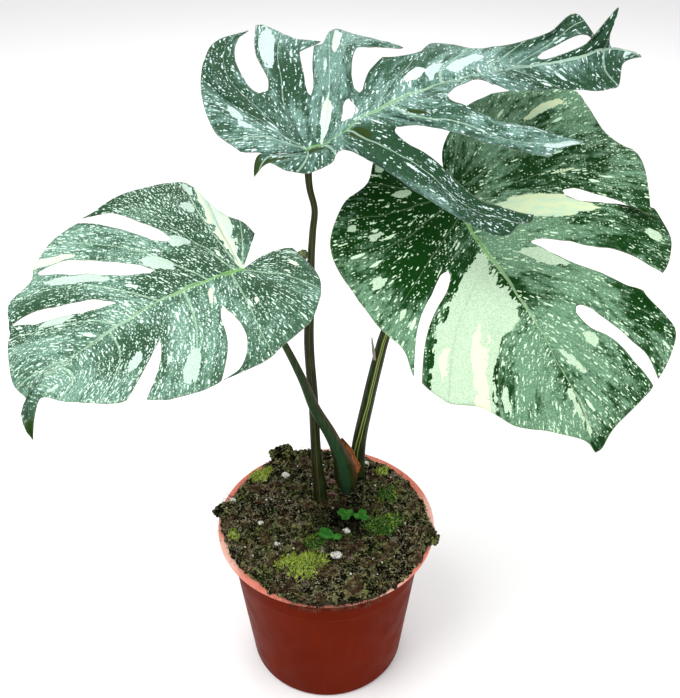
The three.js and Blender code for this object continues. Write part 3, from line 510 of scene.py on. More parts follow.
class Sheet:
    """Adds nodes to a tree and links them by socket"""

    def __init__(self, tree):
        self.tree = tree
        self.surface = tree.nodes.get("Principled BSDF")

    def add(self, kind, inputs=None, **settings):
        node = self.tree.nodes.new(kind)
        for key, value in settings.items():
            setattr(node, key, value)
        for key, value in (inputs or {}).items():
            if isinstance(value, bpy.types.NodeSocket):
                self.tree.links.new(value, node.inputs[key])
            else:
                node.inputs[key].default_value = value
        return node

    def math(self, operation, *values):
        return self.add("ShaderNodeMath", dict(enumerate(values)), operation=operation).outputs[0]

    def vector(self, operation, *values):
        return self.add("ShaderNodeVectorMath", dict(enumerate(values)), operation=operation).outputs[0]

    def scaled(self, vector, by):
        inputs = {0: vector, "Scale": by}
        return self.add("ShaderNodeVectorMath", inputs, operation="SCALE").outputs[0]

    def dot(self, first, second):
        inputs = {0: first, 1: second}
        return self.add("ShaderNodeVectorMath", inputs, operation="DOT_PRODUCT").outputs["Value"]

    def noise(self, place, scale, detail=2.0, output="Fac"):
        inputs = {"Scale": scale, "Detail": detail}
        if place is not None:
            inputs["Vector"] = place
        return self.add("ShaderNodeTexNoise", inputs).outputs[output]

    def swayed(self, value, sway, amount):
        """A value moved up and down by a noise round 0.5"""
        return self.math("MULTIPLY_ADD", self.math("SUBTRACT", sway, 0.5), amount, value)

    def step(self, value, low, high, start=0.0, end=1.0):
        inputs = {0: value, 1: low, 2: high, 3: start, 4: end}
        return self.add("ShaderNodeMapRange", inputs, interpolation_type="SMOOTHSTEP").outputs[0]

    def mix(self, factor, first, second):
        inputs = {0: factor, 6: shade(first), 7: shade(second)}
        return self.add("ShaderNodeMix", inputs, data_type="RGBA").outputs[2]

    def attribute(self, name, output="Fac"):
        return self.add("ShaderNodeAttribute", attribute_name=name).outputs[output]

    def finish(self, socket, value):
        """Links a value to the material's surface"""
        self.tree.links.new(value, self.surface.inputs[socket])

    def relief(self, height, distance):
        """Bump from a height between 0 and 1, and what 1 is in m"""
        bump = self.add("ShaderNodeBump", {"Height": height, "Distance": distance})
        self.finish("Normal", bump.outputs[0])


def shade(colour):
    """A colour as four numbers, or the socket it comes from"""
    if isinstance(colour, bpy.types.NodeSocket):
        return colour
    return (*colour, 1.0) if len(colour) == 3 else tuple(colour)


def new_material(name, roughness, specular=0.5):
    """A node material; returns it with its sheet and the place on the object"""
    material = bpy.data.materials.new(name)
    material.use_nodes = True
    sheet = Sheet(material.node_tree)
    sheet.surface.inputs["Roughness"].default_value = roughness
    sheet.surface.inputs["Specular IOR Level"].default_value = specular
    return material, sheet, sheet.add("ShaderNodeTexCoord").outputs["Object"]


def smeared(sheet, place, grain, step, scale, taps=5):
    """Noise averaged along the grain, which draws it out into streaks"""
    total = None
    for tap in range(taps):
        shift = (tap - (taps - 1) / 2) * step
        moved = sheet.vector("MULTIPLY_ADD", grain, (shift,) * 3, place)
        value = sheet.noise(moved, scale, 1.0)
        total = value if total is None else sheet.math("ADD", total, value)
    return sheet.math("DIVIDE", total, float(taps))


def new_tree(name, inputs):
    """A Geometry Nodes tree with named inputs; returns it with its sheet and its input node"""
    tree = bpy.data.node_groups.new(name, "GeometryNodeTree")
    tree.is_modifier = True
    tree.interface.new_socket(name="Geometry", in_out="INPUT", socket_type="NodeSocketGeometry")
    for label, (kind, default) in inputs.items():
        socket = tree.interface.new_socket(name=label, in_out="INPUT", socket_type=kind)
        if default is not None:
            socket.default_value = default
    tree.interface.new_socket(name="Geometry", in_out="OUTPUT", socket_type="NodeSocketGeometry")
    return tree, Sheet(tree), tree.nodes.new("NodeGroupInput").outputs


def end_tree(sheet, geometry, material):
    """Realizes the copies, sets their material and joins them to the tree's output"""
    real = sheet.add("GeometryNodeRealizeInstances", {0: geometry}).outputs[0]
    painted = sheet.add("GeometryNodeSetMaterial", {"Geometry": real, "Material": material})
    sheet.add("NodeGroupOutput", {0: painted.outputs[0]})


def tube_tree():
    """Turns lines with a line_radius at each point into closed tubes"""
    tree, sheet, start = new_tree(
        "Tubes along lines",
        {"Sides": ("NodeSocketInt", 6), "Material": ("NodeSocketMaterial", None)},
    )
    curve = sheet.add("GeometryNodeMeshToCurve", {"Mesh": start["Geometry"]}).outputs[0]
    radius = sheet.add("GeometryNodeInputNamedAttribute", {"Name": "line_radius"}).outputs[0]
    ring = sheet.add("GeometryNodeCurvePrimitiveCircle", {"Resolution": start["Sides"], "Radius": 1.0})
    tube = sheet.add("GeometryNodeCurveToMesh", {
        "Curve": curve, "Profile Curve": ring.outputs[0], "Scale": radius, "Fill Caps": True,
    })
    smooth = sheet.add("GeometryNodeSetShadeSmooth", {"Geometry": tube.outputs[0]})
    end_tree(sheet, smooth.outputs[0], start["Material"])
    return tree


def scatter_tree(name, shape, upright):
    """Scatters a small shape over a surface: upright ones lean by up to the lean angle"""
    tree, sheet, start = new_tree(name, {
        "Density": ("NodeSocketFloat", 1000.0),
        "Smallest": ("NodeSocketFloat", 0.0005),
        "Largest": ("NodeSocketFloat", 0.002),
        "Lean": ("NodeSocketFloat", math.pi),
        "Unevenness": ("NodeSocketFloat", 0.0),
        "Seed": ("NodeSocketInt", 0),
        "Material": ("NodeSocketMaterial", None),
    })
    factor = sheet.add("GeometryNodeInputNamedAttribute", {"Name": "cover"}).outputs[0]
    share = sheet.math("MULTIPLY", start["Density"], factor)
    points = sheet.add("GeometryNodeDistributePointsOnFaces", {
        "Mesh": start["Geometry"], "Density": share, "Seed": start["Seed"],
    })
    lean = sheet.vector("SCALE", (1.0, 1.0, 0.0))
    sheet.tree.links.new(start["Lean"], lean.node.inputs["Scale"])
    least = sheet.vector("MULTIPLY_ADD", lean, (-1.0,) * 3, (0.0, 0.0, -math.pi))
    most = sheet.vector("ADD", lean, (0.0, 0.0, math.pi))
    turn = sheet.add(
        "FunctionNodeRandomValue", {0: least, 1: most, "Seed": start["Seed"]}, data_type="FLOAT_VECTOR"
    ).outputs[0]
    if upright:
        turn = sheet.add("FunctionNodeRotateRotation", {0: points.outputs["Rotation"], 1: turn}).outputs[0]
    chance = sheet.add("FunctionNodeRandomValue", {2: 0.0, 3: 1.0, "Seed": 7}, data_type="FLOAT").outputs[1]
    rare = sheet.math("POWER", chance, 2.5)
    size = sheet.add("ShaderNodeMapRange", {0: rare, 3: start["Smallest"], 4: start["Largest"]}).outputs[0]
    copies = sheet.add("GeometryNodeInstanceOnPoints", {
        "Points": points.outputs["Points"], "Instance": shape(sheet), "Rotation": turn, "Scale": size,
    })
    real = sheet.add("GeometryNodeRealizeInstances", {0: copies.outputs[0]}).outputs[0]
    wild = sheet.noise(None, 620.0, output="Color")
    centred = sheet.vector("SUBTRACT", wild, (0.5,) * 3)
    push = sheet.vector("SCALE", centred)
    sheet.tree.links.new(start["Unevenness"], push.node.inputs["Scale"])
    moved = sheet.add("GeometryNodeSetPosition", {"Geometry": real, "Offset": push}).outputs[0]
    end_tree(sheet, moved, start["Material"])
    return tree


def crumb_shape(sheet):
    return sheet.add("GeometryNodeMeshIcoSphere", {"Radius": 1.0, "Subdivisions": 1}).outputs[0]


def tuft_shape(sheet):
    cone = sheet.add("GeometryNodeMeshCone", {
        "Vertices": 3, "Radius Top": 0.02, "Radius Bottom": 0.13, "Depth": 1.0,
    }, fill_type="TRIANGLE_FAN")
    return cone.outputs["Mesh"]


def grow(name, source, tree, inputs):
    """The plain mesh that a tree makes of a source object; the source is left as it was"""
    modifier = source.modifiers.new("grow", "NODES")
    modifier.node_group = tree
    for item in tree.interface.items_tree:
        if item.in_out == "INPUT" and item.name in inputs:
            modifier[item.identifier] = inputs[item.name]
    bpy.context.view_layer.update()
    depsgraph = bpy.context.evaluated_depsgraph_get()
    mesh = bpy.data.meshes.new_from_object(source.evaluated_get(depsgraph))
    source.modifiers.remove(modifier)
    if not mesh.polygons:
        raise RuntimeError(f"{name} came out empty")
    mesh.name = name
    obj = bpy.data.objects.new(name, mesh)
    bpy.context.scene.collection.objects.link(obj)
    return obj


def tubes(name, lines, sides, material, extra=None):
    """Closed tubes along lines of points in mm, with the radius at each point in mm"""
    points = []
    edges = []
    radii = []
    for places, widths in lines:
        edges += [(len(points) + i, len(points) + i + 1) for i in range(len(places) - 1)]
        points += list(places)
        radii += [width * MM for width in widths]
    attributes = {"line_radius": radii, **(extra or {})}
    source = make_object("lines", points, [], [], attributes=attributes, edges=edges)
    made = grow(name, source, tube_tree(), {"Sides": sides, "Material": material})
    discard(source)
    return made


# Meshes

def make_object(name, points, faces, materials, kinds=None, attributes=None, edges=()):
    """An object from points in mm, with its attributes at the points"""
    mesh = bpy.data.meshes.new(name)
    places = (np.array(points, float) * MM).tolist()
    mesh.from_pydata(places, list(edges), [tuple(map(int, face)) for face in faces])
    for material in materials:
        mesh.materials.append(material)
    mesh.polygons.foreach_set("use_smooth", [True] * len(mesh.polygons))
    if kinds is not None:
        mesh.polygons.foreach_set("material_index", [int(kind) for kind in kinds])
    for key, values in (attributes or {}).items():
        values = np.asarray(values, np.float32)
        if values.ndim == 1:
            layer = mesh.attributes.new(key, "FLOAT", "POINT")
            layer.data.foreach_set("value", values)
        else:
            layer = mesh.attributes.new(key, "FLOAT_VECTOR", "POINT")
            layer.data.foreach_set("vector", values.ravel())
    mesh.update()
    obj = bpy.data.objects.new(name, mesh)
    bpy.context.scene.collection.objects.link(obj)
    return obj


def discard(obj):
    mesh = obj.data
    bpy.data.objects.remove(obj)
    bpy.data.meshes.remove(mesh)


def join(name, objects):
    """One object from several plain meshes at the origin"""
    with bpy.context.temp_override(
        active_object=objects[0], object=objects[0],
        selected_objects=objects, selected_editable_objects=objects,
    ):
        bpy.ops.object.join()
    objects[0].name = name
    objects[0].data.name = name
    return objects[0]


def hand_in(obj, slot, *nodes):
    """The piece rides on the plant, and stands for the CAD nodes that it replaces"""
    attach(obj, "root")
    if nodes:
        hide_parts(*nodes)


def vertex_normals(points, faces):
    """Unit normals at the points of a mesh of triangles"""
    corners = points[faces]
    flat = np.cross(corners[:, 1] - corners[:, 0], corners[:, 2] - corners[:, 0])
    normals = np.zeros_like(points)
    for corner in range(3):
        np.add.at(normals, faces[:, corner], flat)
    return normals / np.maximum(np.linalg.norm(normals, axis=1, keepdims=True), 1e-12)


def thicken(points, faces, half):
    """A closed solid from a sheet: faces of the top, the underside and the edge, in that order"""
    normals = vertex_normals(points, faces)
    shift = normals * np.asarray(half).reshape(-1, 1)
    count = len(points)
    sides = {}
    for a, b, c in faces.tolist():
        for pair in ((a, b), (b, c), (c, a)):
            sides[pair] = True
    rim = [(a, a + count, b + count, b) for a, b in sides if (b, a) not in sides]
    under = faces[:, ::-1] + count
    solid = [*faces.tolist(), *under.tolist(), *rim]
    kinds = [0] * len(faces) + [1] * len(under) + [0] * len(rim)
    return np.concatenate([points + shift, points - shift]), solid, kinds


def smooth_step(value):
    value = np.clip(value, 0, 1)
    return value * value * (3 - 2 * value)


def through(points, t):
    """Places at fractions t of the smooth curve through points, its knots spaced by distance"""
    points = np.asarray(points, float)
    t = np.asarray(t, float)
    knots = np.concatenate([[0], np.cumsum(np.linalg.norm(np.diff(points, axis=0), axis=1))])
    knots /= knots[-1]
    gaps = np.diff(knots)
    slopes = np.diff(points, axis=0) / gaps[:, None]
    tangents = np.zeros_like(points)
    if len(points) == 2:
        tangents[:] = slopes[0]
    else:
        before = gaps[:-1, None]
        after = gaps[1:, None]
        tangents[1:-1] = (slopes[:-1] * after + slopes[1:] * before) / (before + after)
        tangents[0] = 1.5 * slopes[0] - 0.5 * tangents[1]
        tangents[-1] = 1.5 * slopes[-1] - 0.5 * tangents[-2]
    i = np.clip(np.searchsorted(knots, t, side="right") - 1, 0, len(points) - 2)
    gap = gaps[i][:, None]
    u = ((t - knots[i]) / gaps[i])[:, None]
    return hermite(points[i], points[i + 1], tangents[i] * gap, tangents[i + 1] * gap, u)


def hermite(a, b, slope_a, slope_b, u):
    """Cubic step from a to b with their slopes"""
    return ((2 * u**3 - 3 * u**2 + 1) * a + (u**3 - 2 * u**2 + u) * slope_a
            + (3 * u**2 - 2 * u**3) * b + (u**3 - u**2) * slope_b)


def rising(values, q):
    """Smooth curve through values at 0, 1, 2 that never turns back"""
    values = np.asarray(values, float)
    slopes = np.diff(values)
    total = slopes[:-1] + slopes[1:]
    product = slopes[:-1] * slopes[1:]
    inner = np.where(product > 0, 2 * product / np.where(total == 0, 1, total), 0)
    tangents = np.concatenate([slopes[:1], inner, slopes[-1:]])
    i = np.clip(np.floor(q).astype(int), 0, len(values) - 2)
    return hermite(values[i], values[i + 1], tangents[i], tangents[i + 1], q - i)


def across(rows, q):
    """Smooth curve through vectors at 0, 1, 2"""
    tangents = np.gradient(rows, axis=0)
    i = np.clip(np.floor(q).astype(int), 0, len(rows) - 2)
    return hermite(rows[i], rows[i + 1], tangents[i], tangents[i + 1], (q - i)[:, None])


def rough(x, y, z=0.0, octaves=3):
    """Repeatable noise between about -1 and 1 at a place in lumps"""
    return noise.fractal(Vector((x, y, z)), 1.0, 2.0, octaves)


# Blades

# Rows, as fractions from midrib to margin: how far from a split's ends they lie close together,
# where the ribs need them, and how near two may be
SPLIT_ROUNDING = (0, 0.005, 0.014, 0.03, 0.055)
RIB_ROWS = (0.01, 0.025)
ROW_GAP = 0.004
# How fast a split opens at its start and closes at its end
OPENING = 6
CLOSING = 4
# Rounded corners beside a split: vein spacings they reach, mm they are cut back, and the fraction
# from midrib to margin where that starts
CORNER_REACH = 0.35
CORNER_PULL = 0.8
PULL_FROM = 0.72

PATCH_KINDS = ("cream", "mint", "yellow", "grey", "deep", "olive")
BROAD_KINDS = ("grey", "deep")
# What a point outside all patches has, and what the midrib's points have, in mm
OUTSIDE = -9.0
SPINE_VEIN_GAP = 9.0
SPINE_TO_MARGIN = 40.0
# A patch's edge: its slope along the veins for one that is broad or reaches the margin, and its
# slope and inset for a small oval one
BROAD_SLOPE = 0.4
OVAL_SLOPE = 2.2
OVAL_INSET = 0.8


class HalfBlade:
    """One half of a blade: a smooth surface of vein number q and fraction t out to the margin"""

    def __init__(self, midrib, half):
        self.midrib = np.array(midrib, float)
        self.half = half
        self.starts = np.array([vein[0] for vein in half["veins"]], float)
        self.roots = through(self.midrib, self.starts)
        self.last = len(self.starts) - 1

    def offsets(self, t):
        """How far each vein has come from the midrib at fraction t"""
        rows = np.zeros((self.last + 1, 3))
        for i, (root, vein) in enumerate(zip(self.roots, self.half["veins"])):
            if len(vein) > 1:
                rows[i] = through([root, *vein[1:]], [t])[0] - root
        return rows

    def start_at(self, q):
        return rising(self.starts, q)

    def place(self, q, t):
        """Places of an array of vein numbers at one fraction, with the margin's pulled tips"""
        place = through(self.midrib, self.start_at(q)) + across(self.offsets(t), q)
        for centre, reach, begin, pull in self.half["tips"]:
            near = smooth_step(1 - np.abs(q - centre) / reach)
            place = place + near[:, None] * smooth_step((t - begin) / (1 - begin)) * np.array(pull)
        return place

    def opening(self, split, t):
        """How far a split has opened at t, as half a vein spacing"""
        _, begin, end = split
        x = (t - begin) / (end - begin)
        if x <= 0 or (x >= 1 and end < 1):
            return 0
        closing = math.sqrt(CLOSING * max(1 - x, 0)) if end < 1 else 1
        return 0.5 * min(1, math.sqrt(OPENING * x), closing)

    def levels(self, rows):
        """Fractions of the rows: even ones, with more where splits begin and end"""
        marks = set(np.linspace(0, 1, rows + 1)) | set(RIB_ROWS)
        wanted = []
        for _, begin, end in self.half["splits"]:
            wanted += [begin + extra for extra in SPLIT_ROUNDING]
            if end < 1:
                wanted += [end - extra for extra in SPLIT_ROUNDING]
        for value in wanted:
            marks = {mark for mark in marks if mark in (0, 1) or abs(mark - value) > ROW_GAP}
            marks.add(value)
        return sorted(marks)

    def panels(self, t, columns):
        """Vein numbers of one row, in the stretches that the splits leave"""
        splits = self.half["splits"]
        ends = [0, *[split[0] + 0.5 for split in splits], self.last]
        stretches = []
        for panel in range(len(splits) + 1):
            left = self.opening(splits[panel - 1], t) if panel > 0 else 0
            right = self.opening(splits[panel], t) if panel < len(splits) else 0
            count = max(2, round((ends[panel + 1] - ends[panel]) * columns))
            stretches.append(np.linspace(ends[panel] + left, ends[panel + 1] - right, count + 1))
        return stretches

    def facts(self, q, t):
        """Places and what the finish needs to know at them"""
        nudge = 0.01
        place = self.place(q, t)
        outward = (self.place(q, min(t + nudge, 1)) - self.place(q, max(t - nudge, 0)))
        outward /= min(t + nudge, 1) - max(t - nudge, 0)
        sideways = (self.place(np.minimum(q + nudge, self.last), t)
                    - self.place(np.maximum(q - nudge, 0), t)) / (2 * nudge)
        length = np.linalg.norm(outward, axis=1)
        spacing = np.linalg.norm(sideways, axis=1)
        grain = outward / np.maximum(length, 1e-6)[:, None]
        laterals = np.array([-1e3, *self.half["laterals"], 1e3])
        numbers = np.arange(len(laterals), dtype=float)
        gaps = np.diff(laterals)
        gaps[0] = gaps[1]
        gaps[-1] = gaps[-2]
        phase = np.interp(q, laterals, numbers)
        first = q < laterals[1]
        final = q > laterals[-2]
        phase = np.where(first, 1 - (laterals[1] - q) / gaps[0], phase)
        phase = np.where(final, numbers[-2] + (q - laterals[-2]) / gaps[-1], phase)
        here = np.clip(np.searchsorted(laterals, q) - 1, 0, len(gaps) - 1)
        return {
            "place": place, "grain": grain, "vein_phase": phase, "vein_gap": gaps[here] * spacing,
            "from_midrib": t * length, "to_margin": (1 - t) * length, "spacing": spacing,
            "along_midrib": self.start_at(q), **self.patches(q, t, spacing, length),
        }

    def patches(self, q, t, spacing, length):
        """For each kind of patch, about how many mm a place is inside its nearest edge"""
        found = {kind: np.full(len(q), OUTSIDE) for kind in PATCH_KINDS}
        for kind, boxes in self.half["patches"].items():
            for q_low, t_low, q_high, t_high in boxes:
                across_by = (q_high - q_low) / 2
                along_by = (t_high - t_low) / 2
                if t_high > 1 or kind in BROAD_KINDS:
                    side = np.minimum(q - q_low, q_high - q) * spacing
                    ends = np.minimum(t - t_low, t_high - t) * length
                    inside = np.minimum(side, ends * BROAD_SLOPE)
                else:
                    off = np.hypot((q - q_low) / across_by - 1, (t - t_low) / along_by - 1)
                    size = np.minimum(across_by * spacing, along_by * length)
                    inside = (1 - off) * size * OVAL_SLOPE - OVAL_INSET
                found[kind] = np.maximum(found[kind], inside)
        return found


class Blade:
    """Gathers the points and faces of one blade in its own frame"""

    def __init__(self, leaf, rows, columns):
        self.leaf = leaf
        self.points = []
        self.facts = {}
        self.faces = []
        self.seen = {}
        halves = [HalfBlade(leaf["midrib"], leaf[side]) for side in ("left", "right")]
        self.halves = halves
        grids = [self.half_rows(half, rows, columns) for half in halves]
        starts = sorted({round(float(s), 4) for grid in grids for row in grid[0] for s in row[1]})
        midrib = np.array(leaf["midrib"], float)
        spine_places = through(midrib, starts)
        tangent = np.gradient(spine_places, axis=0)
        tangent /= np.linalg.norm(tangent, axis=1, keepdims=True)
        self.spine = []
        for start, place, grain in zip(starts, spine_places, tangent):
            facts = {
                "grain": grain, "vein_phase": 0.5, "vein_gap": SPINE_VEIN_GAP, "from_midrib": 0.0,
                "to_margin": SPINE_TO_MARGIN, "along_midrib": start,
                **dict.fromkeys(PATCH_KINDS, OUTSIDE),
            }
            self.spine.append(self.weld(place, facts))
        for flip, grid in zip((False, True), grids):
            self.zip_to_spine(starts, grid[1], flip)
            for inner, outer in zip(grid[1:-1], grid[2:]):
                for (near, _), (far, _) in zip(inner, outer):
                    for i in range(len(near) - 1):
                        self.face(near[i], near[i + 1], far[i + 1], flip)
                        self.face(near[i], far[i + 1], far[i], flip)

    def weld(self, place, facts):
        key = tuple(np.round(place, 3))
        if key not in self.seen:
            self.seen[key] = len(self.points)
            self.points.append(place)
            for name, value in facts.items():
                self.facts.setdefault(name, []).append(value)
        return self.seen[key]

    def face(self, a, b, c, flip):
        if len({a, b, c}) == 3:
            self.faces.append((a, c, b) if flip else (a, b, c))

    def half_rows(self, half, rows, columns):
        """For each row and stretch, the numbers of its points and where on the midrib they start"""
        grid = []
        splits = half.half["splits"]
        for level in half.levels(rows):
            row = []
            for panel, q in enumerate(half.panels(level, columns)):
                facts = half.facts(q, level)
                place = facts.pop("place")
                spacing = facts.pop("spacing")
                pull = np.zeros(len(q))
                sides = ((panel - 1, q - q[0]), (panel, q[-1] - q))
                for number, distance in sides:
                    if not 0 <= number < len(splits):
                        continue
                    if splits[number][2] >= 1:
                        pull += np.clip(1 - distance / CORNER_REACH, 0, 1) ** 2
                    if half.opening(splits[number], level) > 0:
                        facts["to_margin"] = np.minimum(facts["to_margin"], distance * spacing)
                fade = smooth_step((level - PULL_FROM) / (1 - PULL_FROM))
                place = place - facts["grain"] * (CORNER_PULL * fade * pull)[:, None]
                if level == 0:
                    row.append((None, half.start_at(q)))
                    continue
                numbers = [
                    self.weld(place[i], {name: values[i] for name, values in facts.items()})
                    for i in range(len(q))
                ]
                row.append((numbers, half.start_at(q)))
            grid.append(row)
        return grid

    def zip_to_spine(self, starts, row, flip):
        """Joins the midrib's points to a half's first row"""
        numbers = [number for stretch, _ in row for number in stretch]
        places = [float(start) for _, stretch in row for start in stretch]
        i = 0
        j = 0
        while i < len(starts) - 1 or j < len(numbers) - 1:
            along = j == len(numbers) - 1
            if not along and i < len(starts) - 1:
                along = starts[i + 1] <= places[j + 1] + 1e-4
            if along:
                self.face(self.spine[i], self.spine[i + 1], numbers[j], flip)
                i += 1
            else:
                self.face(self.spine[i], numbers[j + 1], numbers[j], flip)
                j += 1

    def to_world(self, places):
        """From the blade's frame to the plant's, in mm"""
        angle = math.radians(self.leaf["heading"])
        turn = np.array([[math.cos(angle), -math.sin(angle), 0], [math.sin(angle), math.cos(angle), 0],
                         [0, 0, 1]])
        return np.asarray(places) @ turn.T + np.array(self.leaf["base"], float)

    def turn(self, vectors):
        return self.to_world(vectors) - np.array(self.leaf["base"], float)


def flecks(sheet, place, frame, cell, size, share, ragged):
    """Long spots drawn out along the veins, at most one in each cell of scattered places"""
    grain, side = frame
    cells = sheet.add("ShaderNodeTexVoronoi", {"Vector": place, "Scale": 1 / cell})
    away = sheet.vector("SUBTRACT", place, cells.outputs["Position"])
    along = sheet.math("DIVIDE", sheet.dot(away, grain), size[0])
    aside = sheet.math("DIVIDE", sheet.dot(away, side), size[1])
    reach = sheet.math("SQRT", sheet.math("ADD", sheet.math("MULTIPLY", along, along),
                                          sheet.math("MULTIPLY", aside, aside)))
    chance = sheet.add("ShaderNodeSeparateColor", {0: cells.outputs["Color"]})
    reach = sheet.math("MULTIPLY_ADD", chance.outputs[1], 0.7, reach)
    reach = sheet.math("ADD", reach, ragged)
    shape = sheet.step(reach, 0.9, 1.25, 1.0, 0.0)
    return sheet.math("MULTIPLY", shape, sheet.math("LESS_THAN", chance.outputs[0], share))


# How each blade is coloured: threshold of its grey streaks; shares of the cells with dots, dashes
# and long flecks; least and most grey; strength of the fine veins and of the ribs' pale lines;
# how green the tip is, how grey the ribs are near the stalk, and a tint over it all. The grey and
# the blue of the tints are partly the tissue's colour and partly painted sky reflection
VARIEGATION = {
    "blade_left": {
        "streaks": 0.48, "dots": 0.75, "dashes": 0.6, "long": 0.1, "haze": 0.28, "grey": 0.95,
        "veins": 0.55, "lines": 0.6, "tip": 1.0, "rib": 0.0, "tint": (1.0, 1.0, 1.08),
    },
    "blade_top": {
        "streaks": 0.5, "dots": 0.32, "dashes": 0.4, "long": 0.12, "haze": 0.2, "grey": 0.98,
        "veins": 0.55, "lines": 0.6, "tip": 0.0, "rib": 0.6, "tint": (1.02, 0.98, 1.2),
    },
    "blade_right": {
        "streaks": 0.55, "dots": 0.3, "dashes": 0.28, "long": 0.15, "haze": 0.02, "grey": 0.9,
        "veins": 0.15, "lines": 0.55, "tip": 0.0, "rib": 0.45, "tint": (1.0, 1.03, 0.92),
    },
}
# Flecks: size of the cells they are strewn over, then their half length and half width, in m
DOTS = (0.0014, (0.00046, 0.00028))
DASHES = (0.0026, (0.0014, 0.00034))
LONG_FLECKS = (0.0075, (0.0034, 0.0007))
# Colours of the painted shadow in the olive patches, the margin's pale line (partly painted highlight), the
# brown-green tip and the underside
SHADOW_OLIVE = (0.024, 0.05, 0.008)
MARGIN = (0.25, 0.3, 0.17)
TIP = (0.03, 0.075, 0.01)
UNDERSIDE = (0.05, 0.12, 0.035)


def blade_material(name, look, spots, under=False):
    """Variegated tissue: deep green, grey streaks that are partly painted sky reflection, dots and flecks
    along the veins, pale patches, olive patches of painted shadow and a pale margin partly painted highlight
    """
    material, sheet, place = new_material(name, 0.65 if under else 0.5, 0.05)
    grain = sheet.attribute("grain", "Vector")
    upward = sheet.add("ShaderNodeNewGeometry").outputs["Normal"]
    frame = (grain, sheet.vector("CROSS_PRODUCT", upward, grain))
    streak = smeared(sheet, place, grain, 0.0016, 330.0)
    broad = sheet.noise(place, 32.0)
    fine = sheet.noise(place, 1500.0)
    thread = smeared(sheet, place, grain, 0.0008, 800.0, 3)
    mood = sheet.swayed(streak, broad, 0.7)
    mood = sheet.swayed(mood, thread, 0.6)
    mood = sheet.math("ADD", mood, sheet.step(sheet.attribute("grey"), -4.0, 4.0, 0.0, 0.16))
    darker = sheet.step(sheet.attribute("deep"), -4.0, 4.0)
    mood = sheet.math("MULTIPLY_ADD", darker, -0.16, mood)
    pale = sheet.step(mood, spots["streaks"] - 0.13, spots["streaks"] + 0.17, spots["haze"], spots["grey"])
    pale = sheet.math("MULTIPLY", pale, sheet.math("MULTIPLY_ADD", darker, -0.4, 1.0))
    colour = sheet.mix(pale, look.deep, look.grey)
    grime = sheet.step(fine, 0.35, 0.7, 0.75, 1.3)
    colour = sheet.scaled(colour, grime)
    ragged = sheet.math("MULTIPLY", sheet.math("SUBTRACT", fine, 0.5), 1.3)
    crowd = sheet.step(broad, 0.3, 0.7, 0.55, 1.45)
    bright = tuple(c * 1.2 for c in look.mint)
    for key, (cell, size) in (("dots", DOTS), ("dashes", DASHES), ("long", LONG_FLECKS)):
        share = sheet.math("MULTIPLY", crowd, spots[key])
        mask = flecks(sheet, place, frame, cell, size, share, ragged)
        strength = 0.7 if key == "dots" else 0.95
        colour = sheet.mix(sheet.math("MULTIPLY", mask, strength), colour, bright)
    rough_edge = sheet.math("MULTIPLY", sheet.math("SUBTRACT", streak, 0.51), 15.0)
    rough_edge = sheet.swayed(rough_edge, thread, 5.0)

    def patch(kind):
        inside = sheet.math("ADD", rough_edge, sheet.attribute(kind))
        return sheet.step(inside, -0.15, 0.15)

    soft_mint = sheet.mix(sheet.step(fine, 0.42, 0.6), tuple(c * 0.8 for c in look.mint), look.mint)
    colour = sheet.mix(patch("mint"), colour, soft_mint)
    soft_cream = sheet.mix(sheet.step(streak, 0.42, 0.58), look.mint, look.cream)
    colour = sheet.mix(patch("cream"), colour, soft_cream)
    colour = sheet.mix(patch("yellow"), colour, tuple(c * 1.22 for c in look.cream))
    # Painted shadow: the olive patches
    colour = sheet.mix(patch("olive"), colour, SHADOW_OLIVE)
    phase = sheet.attribute("vein_phase")
    off = sheet.math("ABSOLUTE", sheet.math("SUBTRACT", phase, sheet.math("ROUND", phase)))
    vein = sheet.math("MULTIPLY", off, sheet.attribute("vein_gap"))
    reach = sheet.attribute("from_midrib")
    width = sheet.step(reach, 0.0, 60.0, 0.5, 0.2)
    on_vein = sheet.step(sheet.math("DIVIDE", vein, width), 0.6, 1.5, spots["veins"], 0.0)
    colour = sheet.mix(on_vein, colour, look.vein)
    along = sheet.attribute("along_midrib")
    rib_width = sheet.step(along, 0.0, 1.0, 1.2, 0.3)
    on_rib = sheet.step(sheet.math("DIVIDE", reach, rib_width), 0.6, 1.4, 0.8, 0.0)
    colour = sheet.mix(on_rib, colour, sheet.mix(sheet.step(along, -0.2, 0.6), look.rib, look.vein))
    # A pale line along the margin: partly its own paler colour, partly painted highlight on the lit edge
    edge = sheet.step(sheet.attribute("to_margin"), 0.2, 0.55, 0.35, 0.0)
    colour = sheet.mix(edge, colour, MARGIN)
    tip = sheet.step(along, 0.87, 0.92, 0.0, spots["tip"])
    colour = sheet.mix(tip, colour, TIP)
    # The tint's blue on the left and top blades is partly painted sky reflection
    colour = sheet.vector("MULTIPLY", colour, spots["tint"])
    if under:
        colour = sheet.mix(0.45, colour, UNDERSIDE)
    sheet.finish("Base Color", colour)
    groove = sheet.step(vein, 0.0, 1.6)
    height = sheet.math("MULTIPLY_ADD", streak, 0.8, sheet.math("MULTIPLY", groove, 0.5))
    height = sheet.math("MULTIPLY_ADD", fine, 0.2, height)
    sheet.relief(height, 0.0006)
    return material


def rib_material(name, look, spots):
    """Ribs: yellow green by the stalk, paler and then greyer away from it"""
    material, sheet, place = new_material(name, 0.5, 0.08)
    along = sheet.attribute("rib_along")
    fade = sheet.step(sheet.math("ADD", along, sheet.noise(place, 300.0)), 0.6, 1.3)
    far = sheet.mix(sheet.noise(place, 700.0), look.grey, look.vein)
    far = sheet.mix(spots["lines"], look.grey, far)
    near = sheet.mix(spots["rib"], look.rib, look.grey)
    sheet.finish("Base Color", sheet.vector("MULTIPLY", sheet.mix(fade, near, far), spots["tint"]))
    return material


